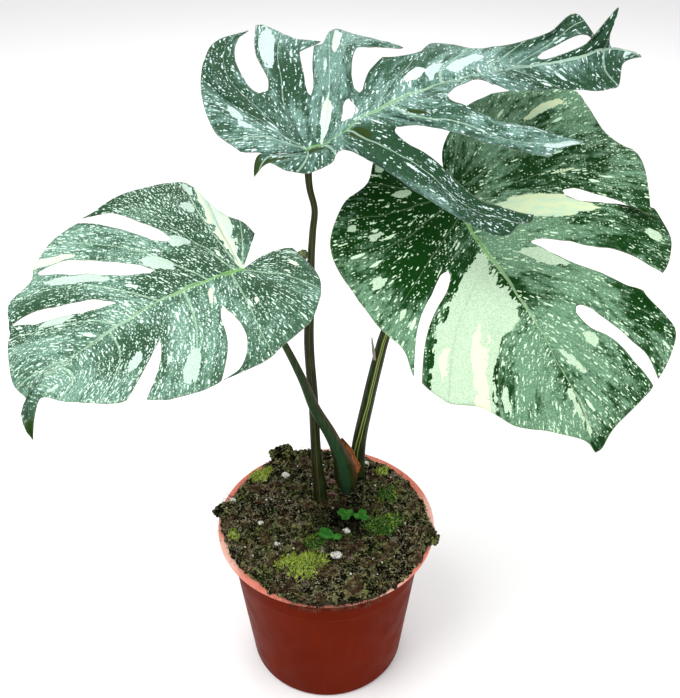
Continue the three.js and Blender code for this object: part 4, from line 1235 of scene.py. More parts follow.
# Ribs: where they start and end as fractions, how many points they have, the radius that tapers
# away and the one that stays, in mm, and the power of the taper
MIDRIB_LINE = (0, 0.985, 64, 0.95, 0.12, 0.75)
LATERAL_LINE = (0.004, 0.9, 26, 0.42, 0.05, 0.8)


def blade_lines(blade):
    """Lines of the midrib and the laterals with their radii, and how far along each point is"""
    lines = []
    along = []
    start, end, count, radius, least, taper = MIDRIB_LINE
    steps = np.linspace(start, end, count)
    lines.append((through(blade.halves[0].midrib, steps), radius * (1 - steps) ** taper + least))
    along += steps.tolist()
    start, end, count, radius, least, taper = LATERAL_LINE
    reach = np.linspace(start, end, count)
    for half in blade.halves:
        for q in half.half["laterals"]:
            places = np.array([half.place(np.array([q]), t)[0] for t in reach])
            lines.append((places, radius * (1 - reach) ** taper + least))
            along += (0.25 + 0.75 * reach).tolist()
    return lines, along


# In mm: height of the swellings between the veins, the vein spacing that has them in full and how
# far in from the margin; height and spacing of the blade's waves; where the margin's thinning starts
QUILT = 0.9
QUILT_GAP = 14
QUILT_MARGIN = 5
WAVE = 0.9
WAVE_SPACING = 11
THIN_MARGIN = 2.5
# Thickness of the margin as a share of the middle's, and how deep ribs lie as a share of their radius
MARGIN_SHARE = 0.45
RIB_SINK = 0.55


def rippled(places):
    """The same places on the uneven surface of a grown leaf"""
    places = np.array(places, float)
    places[:, 2] += [WAVE * rough(p[0] / WAVE_SPACING, p[1] / WAVE_SPACING, 3.0, 2) for p in places]
    return places


def build_blade(name, node, leaf, look, slot):
    """A fine blade with its ribs, in place of the CAD one"""
    blade = Blade(leaf, look.rows, look.columns)
    points = np.array(blade.points)
    faces = np.array(blade.faces)
    normals = vertex_normals(points, faces)
    margin = np.array(blade.facts["to_margin"])
    gap = np.array(blade.facts["vein_gap"])
    phase = np.array(blade.facts["vein_phase"])
    off = np.abs(phase - np.round(phase))
    quilt = QUILT * smooth_step(off * 2) * np.clip(gap / QUILT_GAP, 0, 1)
    quilt *= smooth_step(margin / QUILT_MARGIN)
    points = rippled(points) + normals * quilt[:, None]
    share = MARGIN_SHARE + (1 - MARGIN_SHARE) * smooth_step(margin / THIN_MARGIN)
    half = look.thickness / MM / 2 * share
    solid, solid_faces, kinds = thicken(points, faces, half)
    attributes = {key: np.concatenate([np.array(v), np.array(v)]) for key, v in blade.facts.items()}
    attributes["grain"] = blade.turn(attributes["grain"])
    spots = VARIEGATION[name]
    top = blade_material(f"{name} upper side", look, spots)
    under = blade_material(f"{name} underside", look, spots, under=True)
    places = blade.to_world(solid)
    skin = make_object("skin", places, solid_faces, [top, under], kinds, attributes)
    lines, along = blade_lines(blade)
    sunk = []
    for places, radii in lines:
        drop = np.zeros_like(places)
        drop[:, 2] = RIB_SINK * np.asarray(radii)
        sunk.append((blade.to_world(rippled(places) - drop), radii))
    ribs = tubes("ribs", sunk, 8, rib_material(f"{name} ribs", look, spots), {"rib_along": along})
    hand_in(join(name, [skin, ribs]), slot, node)


# Pot

ROUNDING_STEPS = 5


def rounded(corners):
    """A profile with eased corners: each corner is a radius, a height and how far it is eased"""
    line = []
    for i, (r, z, ease) in enumerate(corners):
        here = np.array([r, z], float)
        if ease == 0:
            line.append(here)
            continue
        before = np.array(corners[i - 1][:2]) - here
        after = np.array(corners[i + 1][:2]) - here
        start = here + before * min(ease / np.linalg.norm(before), 0.5)
        end = here + after * min(ease / np.linalg.norm(after), 0.5)
        for u in np.linspace(0, 1, ROUNDING_STEPS):
            line.append((1 - u) ** 2 * start + 2 * u * (1 - u) * here + u**2 * end)
    return line


def turned(profile, sides):
    """Points and outward quads of a profile turned round the middle, open at its ends"""
    angles = np.linspace(0, 2 * np.pi, sides, endpoint=False)
    points = [(r * math.cos(a), r * math.sin(a), z) for r, z in profile for a in angles]
    faces = []
    for ring in range(len(profile) - 1):
        for side in range(sides):
            a = ring * sides + side
            b = ring * sides + (side + 1) % sides
            faces.append((a, b, b + sides, a + sides))
    return points, faces


# In mm: radius of the flat floor with the drain holes, and thickness of the lip's flange and skirt
FLOOR_EDGE = 40.5
FLANGE = 1.8
SKIRT = 1.2
HOLE_SIDES = 20
# Spare points that keep the floor's triangles even: how many, mm from the middle and their step
SPARE_POINTS = 12
SPARE_RADIUS = 12
SPARE_STEP = 0.5235
# Heights in m: where the painted highlight on the lip starts and ends, and where soil has splashed the pot
LIP_HIGHLIGHT_SPAN = (0.0938, 0.0949)
SPLASH = (0.088, 0.098)
LIP_HIGHLIGHT = (0.8, 0.45, 0.36)
DIRT = (0.035, 0.018, 0.01)


def pot_floor(points, faces, low, high, sides):
    """Closes the floor between two rings of points, with its drain holes"""
    flat = [Vector(points[low + i][:2]) for i in range(sides)]
    loops = [list(range(sides))]
    centres = []
    for hole in range(DRAIN_HOLES):
        angle = 2 * math.pi * hole / DRAIN_HOLES
        centre = Vector((DRAIN_CIRCLE * math.cos(angle), DRAIN_CIRCLE * math.sin(angle)))
        centres.append(centre)
        loops.append(list(range(len(flat), len(flat) + HOLE_SIDES)))
        for step in range(HOLE_SIDES):
            turn = 2 * math.pi * step / HOLE_SIDES
            flat.append(centre + DRAIN_RADIUS * Vector((math.cos(turn), math.sin(turn))))
    edges = [(loop[i], loop[(i + 1) % len(loop)]) for loop in loops for i in range(len(loop))]
    for turn in (SPARE_STEP * number for number in range(SPARE_POINTS)):
        flat.append(SPARE_RADIUS * Vector((math.cos(turn), math.sin(turn))))
    _, _, found, origins, _, _ = delaunay_2d_cdt(flat, edges, [], 1, 1e-6)
    number = [origin[0] for origin in origins]
    heights = (points[low][2], points[high][2])
    places = []
    for height, start in zip(heights, (low, high)):
        row = list(range(start, start + sides))
        for place in flat[sides:]:
            row.append(len(points))
            points.append((place.x, place.y, height))
        places.append(row)
    for face in found:
        corners = [number[i] for i in face]
        middle = sum((flat[i] for i in corners), Vector((0, 0))) / 3
        if min((middle - centre).length for centre in centres) < DRAIN_RADIUS * 0.98:
            continue
        faces.append([places[1][i] for i in corners])
        faces.append([places[0][i] for i in reversed(corners)])
    for loop in loops[1:]:
        for i, here in enumerate(loop):
            after = loop[(i + 1) % len(loop)]
            faces.append((places[0][here], places[0][after], places[1][after], places[1][here]))


def pot_material(look):
    """Orange-brown plastic, streaked downwards, a little darker above the step as painted shade, with a
    painted highlight on the lip and soil splashed on it
    """
    material, sheet, place = new_material("terracotta plastic", 0.5, 0.012)
    height = sheet.add("ShaderNodeSeparateXYZ", {0: place}).outputs["Z"]
    cloud = sheet.noise(place, 26.0, 4.0)
    body = sheet.mix(sheet.step(cloud, 0.3, 0.7), tuple(c * 0.86 for c in look.body), look.body)
    # Painted shade: the body is a little darker above the step, as the band under the soil's fringe in shade
    upper = sheet.step(height, STEP_HEIGHT * MM, (STEP_HEIGHT + 1) * MM)
    body = sheet.mix(sheet.math("MULTIPLY", upper, 0.25), body, tuple(c * 0.8 for c in look.body))
    flow = sheet.vector("MULTIPLY", place, (1.0, 1.0, 0.12))
    streak = sheet.noise(flow, 240.0)
    body = sheet.mix(sheet.step(streak, 0.5, 0.85, 0.0, 0.5), body, tuple(c * 1.3 for c in look.body))
    # Painted highlight: above a wavering height the lip turns pale pink, as its top lit from above
    highlit = sheet.swayed(height, cloud, 0.004)
    lip_highlight_mask = sheet.step(highlit, *LIP_HIGHLIGHT_SPAN)
    pale = sheet.mix(sheet.step(cloud, 0.42, 0.6), look.lip, LIP_HIGHLIGHT)
    colour = sheet.mix(lip_highlight_mask, body, pale)
    dirt = sheet.noise(place, 520.0, 3.0)
    near_soil = sheet.step(height, *SPLASH, 0.0, 0.12)
    soiled = sheet.step(sheet.math("ADD", dirt, near_soil), 0.7, 0.8, 0.0, 0.6)
    colour = sheet.mix(soiled, colour, DIRT)
    sheet.finish("Base Color", colour)
    gloss = sheet.step(sheet.noise(place, 90.0, 4.0), 0.3, 0.7, 0.34, 0.48)
    sheet.finish("Roughness", gloss)
    grain = sheet.noise(place, 1500.0)
    sheet.relief(sheet.math("MULTIPLY_ADD", cloud, 0.6, grain), 0.0001)
    return material


class MONSTERA_OT_pot(bpy.types.Operator):
    """Makes the nursery pot with its flanged lip, step and drain holes"""

    bl_idname = "monstera.pot"
    bl_label = "Pot"

    def execute(self, context):
        look = context.scene.monstera_pot
        step = STEP_RADIUS + STEP_OUT
        corners = [
            (FLOOR_EDGE, 0, 0), (BASE_RADIUS - 0.2, 0, 2.4), (STEP_RADIUS, STEP_HEIGHT, 0.4),
            (step, STEP_HEIGHT + 1, 0.5), (NECK_RADIUS, POT_TOP - FLANGE, 0.4),
            (RIM_RADIUS - SKIRT, POT_TOP - FLANGE, 0.4), (RIM_RADIUS - SKIRT, POT_TOP - LIP_DROP, 0.3),
            (RIM_RADIUS, POT_TOP - LIP_DROP, 0.4), (RIM_RADIUS, POT_TOP, 0.9),
            (NECK_RADIUS - 0.6, POT_TOP, 1.2), (step - WALL, STEP_HEIGHT + 1.2, 0.5),
            (STEP_RADIUS - WALL, STEP_HEIGHT + 0.2, 0.4), (BASE_RADIUS - WALL, FLOOR, 1.0),
            (FLOOR_EDGE, FLOOR, 0),
        ]
        profile = rounded(corners)
        points, faces = turned(profile, look.sides)
        pot_floor(points, faces, 0, (len(profile) - 1) * look.sides, look.sides)
        obj = make_object("nursery_pot", points, faces, [pot_material(look)])
        obj.data.set_sharp_from_angle(angle=math.radians(50))
        hand_in(obj, "pot_plastic", "pot")
        return {"FINISHED"}


# Soil

SOIL_RINGS = 60
SOIL_SECTORS = 300
# In mm: gap between soil and pot, how high the soil lies on the lip, over what width it rises above
# that, and how ragged its edge is
LIP_GAP = 0.35
LIP_SOIL = 0.6
EDGE_SLOPE = 3.5
EDGE_RAGGED = 0.9
# Spacing of the soil's lumps and of the smaller ones on them, in mm, and the small ones' height
LUMP_SPACING = 9
SMALL_SPACING = 3.2
SMALL_SHARE = 0.55
# The green place by the right petiole: its middle and half sizes, in mm
GREEN_PLACE = (27, 3)
GREEN_SIZE = (9, 22)
MOSS_SPACING = 13


def soil_edge(angle):
    """How far the soil reaches at an angle in degrees"""
    angles, reach = zip(*SOIL_EDGE)
    turn = math.radians(angle)
    ragged = rough(3.5 * math.cos(turn) * 3, 3.5 * math.sin(turn) * 3, 11.0, 3)
    return float(np.interp(angle, angles, reach)) + EDGE_RAGGED * ragged


def soil_top(x, y, lumps=1.6):
    """Height of the soil at a place, in mm"""
    share = min(1, math.hypot(x, y) / SOIL_RADIUS)
    height = SOIL_CENTRE - SOIL_FALL * share**2
    for centre_x, centre_y, reach, rise in SOIL_RISES:
        height += rise * math.exp(-((x - centre_x) ** 2 + (y - centre_y) ** 2) / reach**2)
    small = rough(x / SMALL_SPACING, y / SMALL_SPACING, 7.0, 2)
    return height + lumps * (rough(x / LUMP_SPACING, y / LUMP_SPACING) + SMALL_SHARE * small)


def mossy(x, y):
    """How mossy the soil is at a place, from 0 to 1"""
    left = float(smooth_step((30 - x) / 55))
    patch = float(smooth_step(0.55 + 1.3 * rough(x / MOSS_SPACING, y / MOSS_SPACING, 31.0, 2)))
    off_x = (x - GREEN_PLACE[0]) / GREEN_SIZE[0]
    off_y = (y - GREEN_PLACE[1]) / GREEN_SIZE[1]
    green = math.exp(-(off_x**2 + off_y**2))
    return min(1.0, patch * (0.25 + 0.75 * left) + 1.3 * green)


def soil_body(look):
    """The soil's closed body: a lumpy top, an uneven edge on the lip, and the fill of the pot"""
    lumps = look.lumps / MM
    points = [(0, 0, soil_top(0, 0, lumps))]
    cover = [1.0]
    moss = [mossy(0, 0)]
    degrees = np.linspace(-180, 180, SOIL_SECTORS, endpoint=False)
    edges = [soil_edge(degree) for degree in degrees]
    for ring in range(1, SOIL_RINGS + 1):
        for degree, edge in zip(degrees, edges):
            reach = edge * ring / SOIL_RINGS
            x = reach * math.cos(math.radians(degree))
            y = reach * math.sin(math.radians(degree))
            inside = float(smooth_step((edge - reach) / EDGE_SLOPE))
            low = POT_TOP + LIP_SOIL + 0.4 * rough(x / 2, y / 2, 5.0, 2)
            points.append((x, y, low + (max(soil_top(x, y, lumps), low) - low) * inside))
            cover.append(1.0 if inside > 0.1 else 0.5)
            moss.append(mossy(x, y) * inside)
    wall = [
        (NECK_RADIUS, POT_TOP + LIP_GAP), (NECK_RADIUS - WALL - LIP_GAP, POT_TOP - 1.6),
        (STEP_RADIUS + STEP_OUT - WALL - LIP_GAP, STEP_HEIGHT + 1.4),
        (STEP_RADIUS - WALL - LIP_GAP, STEP_HEIGHT + 0.2),
        (BASE_RADIUS - WALL - LIP_GAP, FLOOR + LIP_GAP),
    ]
    rows = [[(edge - 0.25, POT_TOP + LIP_GAP) for edge in edges]]
    rows += [[corner] * SOIL_SECTORS for corner in wall]
    for row in rows:
        for degree, (reach, height) in zip(degrees, row):
            turn = math.radians(degree)
            points.append((reach * math.cos(turn), reach * math.sin(turn), height))
            cover.append(0.0)
            moss.append(0.0)
    points.append((0, 0, FLOOR + LIP_GAP))
    cover.append(0.0)
    moss.append(0.0)
    faces = []
    last = len(points) - 1
    rings = SOIL_RINGS + len(rows)
    for side in range(SOIL_SECTORS):
        after = (side + 1) % SOIL_SECTORS
        faces.append((0, 1 + side, 1 + after))
        for ring in range(rings - 1):
            a = 1 + ring * SOIL_SECTORS + side
            b = 1 + ring * SOIL_SECTORS + after
            faces.append((a, a + SOIL_SECTORS, b + SOIL_SECTORS, b))
        a = 1 + (rings - 1) * SOIL_SECTORS
        faces.append((a + side, last, a + after))
    return points, faces, cover, moss


# The middle of the darker soil between the stalks, in mm; where the darkening starts and stops, and how
# much that wavers, in m
DARK_PLACE_MIDDLE = (9, -5, 102)
DARKENING_REACH = (0.01, 0.03)
DARKENING_WAVER = 0.012


def darkening_near_stalks(sheet, place):
    """From 0.15 in the soil between the stalks to 1 away from it: darker towards the foot of the stalks"""
    middle = sheet.vector("SUBTRACT", place, tuple(c * MM for c in DARK_PLACE_MIDDLE))
    away = sheet.add("ShaderNodeVectorMath", {0: middle}, operation="LENGTH").outputs["Value"]
    away = sheet.math("MULTIPLY_ADD", sheet.noise(place, 120.0), DARKENING_WAVER, away)
    return sheet.step(away, *DARKENING_REACH, 0.15, 1.0)


def soil_material(name, look, olive):
    """Peat: near-black in the low spots of its bump, partly dark peat and partly painted shade between the
    crumbs, brown and fibrous on them, tinted olive where moss starts
    """
    material, sheet, place = new_material(name, 0.9, 0.04)
    lump = sheet.noise(place, 310.0, 3.0)
    fleck = sheet.noise(place, 950.0, 3.0)
    grit = sheet.math("MULTIPLY", sheet.math("ADD", lump, fleck), 0.5)
    # Partly painted shade: the low spots of the bump take the near-black colour, as the gaps between crumbs
    colour = sheet.mix(sheet.step(grit, 0.485, 0.58), look.dark, look.light)
    colour = sheet.mix(sheet.step(fleck, 0.6, 0.66, 0.0, 0.9), colour, (0.42, 0.38, 0.25))
    region = sheet.noise(place, 55.0, 3.0)
    amount = sheet.step(region, 0.35, 0.62, 0.0, olive)
    tint = sheet.mix(sheet.step(grit, 0.46, 0.6), (0.004, 0.008, 0.001), (0.2, 0.23, 0.06))
    colour = sheet.mix(amount, colour, tint)
    patchy = sheet.noise(place, 110.0)
    warm = sheet.step(patchy, 0.5, 0.62, 0.0, 0.65)
    colour = sheet.mix(warm, colour, sheet.mix(grit, (0.02, 0.008, 0.004), (0.13, 0.065, 0.045)))
    colour = sheet.scaled(colour, sheet.step(patchy, 0.3, 0.5, 0.35, 1.0))
    # Darker towards the foot of the stalks
    colour = sheet.scaled(colour, darkening_near_stalks(sheet, place))
    sheet.finish("Base Color", colour)
    sheet.relief(sheet.math("MULTIPLY_ADD", fleck, 0.5, lump), 0.0008)
    return material


def fibre_material(name, brightness):
    """Dry fibres: brown to pale beige, changing from one to the next"""
    material, sheet, place = new_material(name, 0.8, 0.05)
    tone = sheet.noise(place, 260.0)
    pale = tuple(c * brightness for c in (0.75, 0.66, 0.45))
    colour = sheet.mix(sheet.step(tone, 0.42, 0.62), (0.02, 0.012, 0.005), pale)
    # Fibres too are darker towards the foot of the stalks
    sheet.finish("Base Color", sheet.scaled(colour, darkening_near_stalks(sheet, place)))
    return material


# How far from the middle fibres start, and how far over the soil's edge they may go, in mm
FIBRE_SPREAD = 57
FIBRE_OVER = 1


def fibre_lines(count, seed):
    """Curly fibres that lie on the soil and arch a little above it"""
    random = np.random.default_rng(seed)
    lines = []
    while len(lines) < count:
        reach = FIBRE_SPREAD * math.sqrt(random.random())
        spin = random.uniform(-math.pi, math.pi)
        x = reach * math.cos(spin)
        y = reach * math.sin(spin)
        heading = random.uniform(-math.pi, math.pi)
        curl = random.normal(0, 0.5)
        step = random.uniform(0.5, 1.7)
        arch = random.uniform(0.2, 1.5)
        count_here = int(random.integers(5, 9))
        places = []
        for i in range(count_here):
            share = i / (count_here - 1)
            if math.hypot(x, y) > soil_edge(math.degrees(math.atan2(y, x))) + FIBRE_OVER:
                break
            rise = arch * math.sin(math.pi * share) + 0.15
            places.append((x, y, max(soil_top(x, y), POT_TOP + 0.8) + rise))
            x += step * math.cos(heading)
            y += step * math.sin(heading)
            heading += curl + random.normal(0, 0.3)
        if len(places) > 2:
            width = random.uniform(0.09, 0.24)
            lines.append((places, width * np.linspace(1, 0.45, len(places))))
    return lines


FRINGE_COUNT = 330
# Where the fringe grows: middle and spread in degrees, and its share of the fibres
FRINGE_ARCS = ((-84, 15), (-20, 8), (172, 7))
FRINGE_SHARES = (0.8, 0.1, 0.1)
# The front of the lip in degrees, where the fringe hangs down, and its share of that elsewhere
FRINGE_FRONT = (-118, -55)
FRINGE_SHORT = 0.35


def fringe_lines(count, seed):
    """Fibres that hang over the front of the lip, and some that stick out at the clumps"""
    random = np.random.default_rng(seed)
    lines = []
    for _ in range(count):
        degree = random.choice([random.normal(*arc) for arc in FRINGE_ARCS], p=FRINGE_SHARES)
        degree = (degree + 180) % 360 - 180
        edge = soil_edge(degree)
        front = FRINGE_FRONT[0] < degree < FRINGE_FRONT[1]
        drop = random.uniform(0.5, 5.5) * (1 if front else FRINGE_SHORT)
        drift = random.normal(0, 3.2)
        places = []
        for share in np.linspace(0, 1, 6):
            reach = edge - 2.5 + 3.6 * math.sin(share * math.pi * 0.5) + random.normal(0, 0.12)
            reach = max(reach, RIM_RADIUS + 0.5) if share > 0.6 and drop > 1 else reach
            turn = math.radians(degree) + share * drift / 60
            height = POT_TOP + 1.3 + 0.7 * math.sin(share * math.pi) - drop * share**2
            places.append((reach * math.cos(turn), reach * math.sin(turn), height))
        width = random.uniform(0.07, 0.2)
        lines.append((places, width * np.linspace(1, 0.4, len(places))))
    return lines


# Crumbs of a clump and strands of young moss, to a square metre
CLUMP_CRUMBS = 900000.0
MOSS_STRANDS = 900000.0


def clump(name, centre, sizes, seed, material, crumb_tree):
    """A ragged clump of peat with crumbs on it"""
    points, faces = ball(4)
    places = []
    for p in points:
        grow_by = 1 + 0.32 * rough(*(p * 1.7 + seed), 3) + 0.12 * rough(*(p * 5 + seed), 2)
        place = np.array(centre) + p * np.array(sizes) * grow_by
        place[2] = max(place[2], POT_TOP + LIP_GAP + 0.1)
        places.append(place)
    cover = {"cover": [1.0] * len(points)}
    core = make_object(name, places, faces, [material], attributes=cover)
    crumbs = grow("crumbs", core, crumb_tree, {
        "Density": CLUMP_CRUMBS, "Smallest": 0.0002, "Largest": 0.0013, "Unevenness": 0.0006,
        "Seed": seed, "Material": material,
    })
    return join(name, [core, crumbs])


def ball(levels):
    """Points and triangles of a unit ball made by halving an icosahedron's edges"""
    mesh = bmesh.new()
    bmesh.ops.create_icosphere(mesh, subdivisions=levels, radius=1.0)
    points = np.array([v.co for v in mesh.verts], float)
    faces = [[v.index for v in face.verts] for face in mesh.faces]
    mesh.free()
    return points, faces


# Chips of bark: x, y, how high above the soil the middle is, and the half sizes, in mm
BARK_CHIPS = [(3, 24.5, 0.8, (2.6, 2.2, 2.3)), (2.6, 14.5, 0.5, (3.2, 2.0, 1.5))]
# Clumps of soil: middle and half sizes in mm, and the seed of their shape
CLUMPS = [
    ("soil_clump_left", (-56.8, 4.5, 100.3), (5.5, 5, 2.9), 21),
    ("soil_clump_right", (56, -16, 100.3), (5, 5, 2.9), 22),
    ("soil_clump_back", (-26, 49.5, 102.0), (8, 5.5, 5), 23),
    ("soil_clump_front", (14, -55, 99.9), (10, 4, 2), 24),
]


class MONSTERA_OT_soil(bpy.types.Operator):
    """Makes the peat with its crumbs, fibres, overhanging fringe and clumps"""

    bl_idname = "monstera.soil"
    bl_label = "Soil"

    def execute(self, context):
        look = context.scene.monstera_soil
        peat = soil_material("mossy peat", look, 0.75)
        points, faces, cover, moss = soil_body(look)
        body = make_object("peat", points, faces, [peat], attributes={"cover": cover})
        crumb_tree = scatter_tree("Crumbs on a surface", crumb_shape, False)
        crumbs = grow("crumbs", body, crumb_tree, {
            "Density": look.crumbs, "Smallest": 0.0002, "Largest": 0.0019, "Unevenness": 0.0008,
            "Seed": 4, "Material": peat,
        })
        self.strands(context, points, faces, moss)
        hand_in(join("peat_surface", [body, crumbs]), "soil", "potting_soil")
        lying = fibre_lines(look.fibres, 5)
        hand_in(tubes("peat_fibres", lying, 3, fibre_material("dry fibres", 0.5)), "soil")
        hanging = fringe_lines(FRINGE_COUNT, 6)
        hand_in(tubes("peat_fringe", hanging, 3, fibre_material("wet fibres", 0.14)), "soil")
        self.chips()
        for name, centre, sizes, seed in CLUMPS:
            hand_in(clump(f"{name}_crumbly", centre, sizes, seed, peat, crumb_tree), "soil", name)
        return {"FINISHED"}

    def chips(self):
        """Two chips of bark by the foot of the left petiole"""
        bark, sheet, place = new_material("bark", 0.8, 0.05)
        grain = sheet.noise(sheet.vector("MULTIPLY", place, (1.0, 1.0, 3.0)), 420.0, 3.0)
        colour = sheet.mix(sheet.step(grain, 0.4, 0.62), (0.05, 0.02, 0.015), (0.3, 0.17, 0.14))
        sheet.finish("Base Color", colour)
        sheet.relief(grain, 0.0006)
        unit, faces = ball(3)
        for number, (x, y, rise, sizes) in enumerate(BARK_CHIPS, 1):
            centre = np.array((x, y, soil_top(x, y) + rise))
            places = [centre + p * np.array(sizes) * (1 + 0.3 * rough(*(p * 1.3 + x), 2)) for p in unit]
            hand_in(make_object(f"bark_chip_{number}", places, faces, [bark]), "soil")

    def strands(self, context, points, faces, moss):
        """Thin young moss between the crumbs"""
        look = context.scene.monstera_moss
        source = make_object("ground", points, faces, [], attributes={"cover": moss})
        tree = scatter_tree("Moss strands", tuft_shape, True)
        strands = grow("moss_strands", source, tree, {
            "Density": MOSS_STRANDS, "Smallest": 0.0007, "Largest": 0.0024, "Lean": 1.1,
            "Unevenness": 0.0006, "Seed": 8, "Material": moss_material("young moss", look, 0.35),
        })
        discard(source)
        hand_in(strands, "dark_moss")


# Moss

# Cushions of moss: middle, half sizes and height in mm, turn in radians, and kind
CUSHIONS = [
    ("moss_front", (-12, -37), (14, 9), 2.8, 0.1, "lime"),
    ("moss_middle", (-5, -21), (7, 6), 2.4, 0.6, "dark"),
    ("moss_right", (32, -8), (12, 6), 3.2, 0.3, "dark"),
    ("moss_right_back", (35, 15), (8, 6), 2.6, 1, "dark"),
    ("moss_back", (32, 36), (5, 4), 2.2, 0.4, "lime"),
    ("moss_left_back", (-38, 32), (8, 5), 2.6, 0.7, "lime"),
    ("moss_left", (-50, -15), (5, 3), 1.8, 1.8, "lime"),
]


def moss_material(name, look, young):
    """Moss: green with yellower tips; young is how much of it is bright"""
    material, sheet, place = new_material(name, 0.75, 0.06)
    cloud = sheet.noise(place, 190.0, 3.0)
    fine = sheet.noise(place, 900.0)
    amount = sheet.swayed(cloud, fine, 0.9)
    colour = sheet.mix(sheet.step(amount, 0.95 - young, 1.2 - young), look.dark, look.lime)
    shadow = sheet.step(fine, 0.38, 0.54, 0.85, 0.0)
    colour = sheet.mix(shadow, colour, tuple(c * 0.2 for c in look.dark))
    tips = sheet.step(sheet.noise(place, 1300.0, 1.0), 0.57, 0.63, 0.0, young)
    colour = sheet.mix(tips, colour, (0.8, 0.86, 0.5))
    sheet.finish("Base Color", colour)
    sheet.relief(fine, 0.0005)
    return material


def cushion_mesh(centre, sizes, height, turn):
    """A low uneven dome on the soil"""
    rings = 12
    sectors = 40
    points = []
    cover = []
    for lift in (1, 0):
        for ring in range(rings + 1):
            for sector in range(sectors if ring else 1):
                angle = 2 * math.pi * sector / sectors
                reach = ring / rings
                wobble = 1 + 0.14 * math.sin(3 * angle + turn) + 0.16 * rough(
                    2 * math.cos(angle), 2 * math.sin(angle), centre[0], 3)
                u = sizes[0] * reach * wobble * math.cos(angle)
                v = sizes[1] * reach * wobble * math.sin(angle)
                x = centre[0] + u * math.cos(turn) - v * math.sin(turn)
                y = centre[1] + u * math.sin(turn) + v * math.cos(turn)
                knobs = 0.5 * rough(x / 2.6, y / 2.6, 3.0, 2)
                rise = lift * (height * (1 - reach**2) * (1 + knobs) + 0.25)
                points.append((x, y, soil_top(x, y) - 0.6 + rise))
                cover.append(lift * (1 - 0.55 * reach**3))
    faces = []
    half = 1 + rings * sectors
    for side in (0, half):
        for sector in range(sectors):
            after = (sector + 1) % sectors
            made = [(side, side + 1 + sector, side + 1 + after)]
            for ring in range(rings - 1):
                a = side + 1 + ring * sectors
                made.append((a + sector, a + sectors + sector, a + sectors + after, a + after))
            faces += [tuple(reversed(face)) for face in made] if side else made
    edge = 1 + (rings - 1) * sectors
    for sector in range(sectors):
        a = edge + sector
        b = edge + (sector + 1) % sectors
        faces.append((a, a + half, b + half, b))
    return points, faces, cover


class MONSTERA_OT_moss(bpy.types.Operator):
    """Makes the cushions of moss and the tufts that stand on them"""

    bl_idname = "monstera.moss"
    bl_label = "Moss"

    def execute(self, context):
        look = context.scene.monstera_moss
        kinds = {
            "lime": (moss_material("lime moss", look, 0.72), "lime_moss"),
            "dark": (moss_material("dark moss", look, 0.42), "dark_moss"),
        }
        tree = scatter_tree("Moss tufts", tuft_shape, True)
        for seed, (name, centre, sizes, height, turn, kind) in enumerate(CUSHIONS):
            material, slot = kinds[kind]
            points, faces, cover = cushion_mesh(centre, sizes, height, turn)
            dome = make_object(name, points, faces, [material], attributes={"cover": cover})
            tufts = grow("tufts", dome, tree, {
                "Density": look.tufts, "Smallest": look.length * 0.4, "Largest": look.length,
                "Lean": 0.75, "Unevenness": 0.0008, "Seed": seed, "Material": material,
            })
            hand_in(join(f"{name}_tufted", [dome, tufts]), slot, name)
        return {"FINISHED"}


# Perlite

# Crumbs of perlite: x, y and radius in mm
PERLITE = [(-24, 32, 2.4), (6, -31, 2.9), (11, -12.5, 2.2), (-26, -22, 1.6), (-36, -6, 1.7),
           (-53, 12, 1.8), (23, 44, 2)]
# Specks to a square metre, and the patch of squares that they are strewn over, in mm
SPECKS = 32000.0
SPECK_SPREAD = 56
SPECK_GRID = 3
SPECK_RADIUS = 53


class MONSTERA_OT_perlite(bpy.types.Operator):
    """Makes the white crumbs of perlite and the specks round them"""

    bl_idname = "monstera.perlite"
    bl_label = "Perlite"

    def execute(self, context):
        white, sheet, place = new_material("perlite", 0.85, 0.3)
        pits = sheet.noise(place, 1300.0, 3.0)
        colour = sheet.mix(sheet.step(pits, 0.36, 0.55), (0.3, 0.29, 0.25), (0.86, 0.85, 0.8))
        stain = sheet.step(sheet.noise(place, 400.0), 0.5, 0.7, 0.0, 0.5)
        sheet.finish("Base Color", sheet.mix(stain, colour, (0.4, 0.38, 0.26)))
        sheet.relief(pits, 0.0006)
        unit, faces = ball(4)
        for number, (x, y, radius) in enumerate(PERLITE, 1):
            floor = soil_top(x, y)
            places = []
            for p in unit:
                dents = 0.35 * rough(*(p * 1.3 + number * 5), 2) - 0.25 * abs(rough(*(p * 3 + number), 2))
                place_on = p * radius * (1 + dents) * np.array([1, 0.8, 0.75])
                places.append(place_on + np.array([x, y, floor + radius * 0.45]))
            obj = make_object(f"perlite_{number}_pitted", places, faces, [white])
            hand_in(obj, "perlite", f"perlite_{number}")
        self.specks(white)
        return {"FINISHED"}

    def specks(self, white):
        """Specks strewn over a coarse copy of the soil's top"""
        points = []
        faces = []
        lines = range(-SPECK_SPREAD, SPECK_SPREAD, SPECK_GRID)
        for x in lines:
            for y in lines:
                if math.hypot(x + SPECK_GRID / 2, y + SPECK_GRID / 2) < SPECK_RADIUS:
                    start = len(points)
                    for dx, dy in ((0, 0), (SPECK_GRID, 0), (SPECK_GRID, SPECK_GRID), (0, SPECK_GRID)):
                        points.append((x + dx, y + dy, soil_top(x + dx, y + dy) + 0.4))
                    faces.append((start, start + 1, start + 2, start + 3))
        cover = [1.0 if p[0] < 5 else 0.6 for p in points]
        source = make_object("ground", points, faces, [], attributes={"cover": cover})
        tree = scatter_tree("Specks on a surface", crumb_shape, False)
        specks = grow("perlite_specks", source, tree, {
            "Density": SPECKS, "Smallest": 0.00015, "Largest": 0.0008, "Unevenness": 0.0003,
            "Seed": 12, "Material": white,
        })
        discard(source)
        hand_in(specks, "perlite")


# Sprouts

# Half the thickness of a leaflet, and how far a stem goes into the soil, in mm
LEAFLET_HALF = 0.16
STEM_SUNK = 0.8


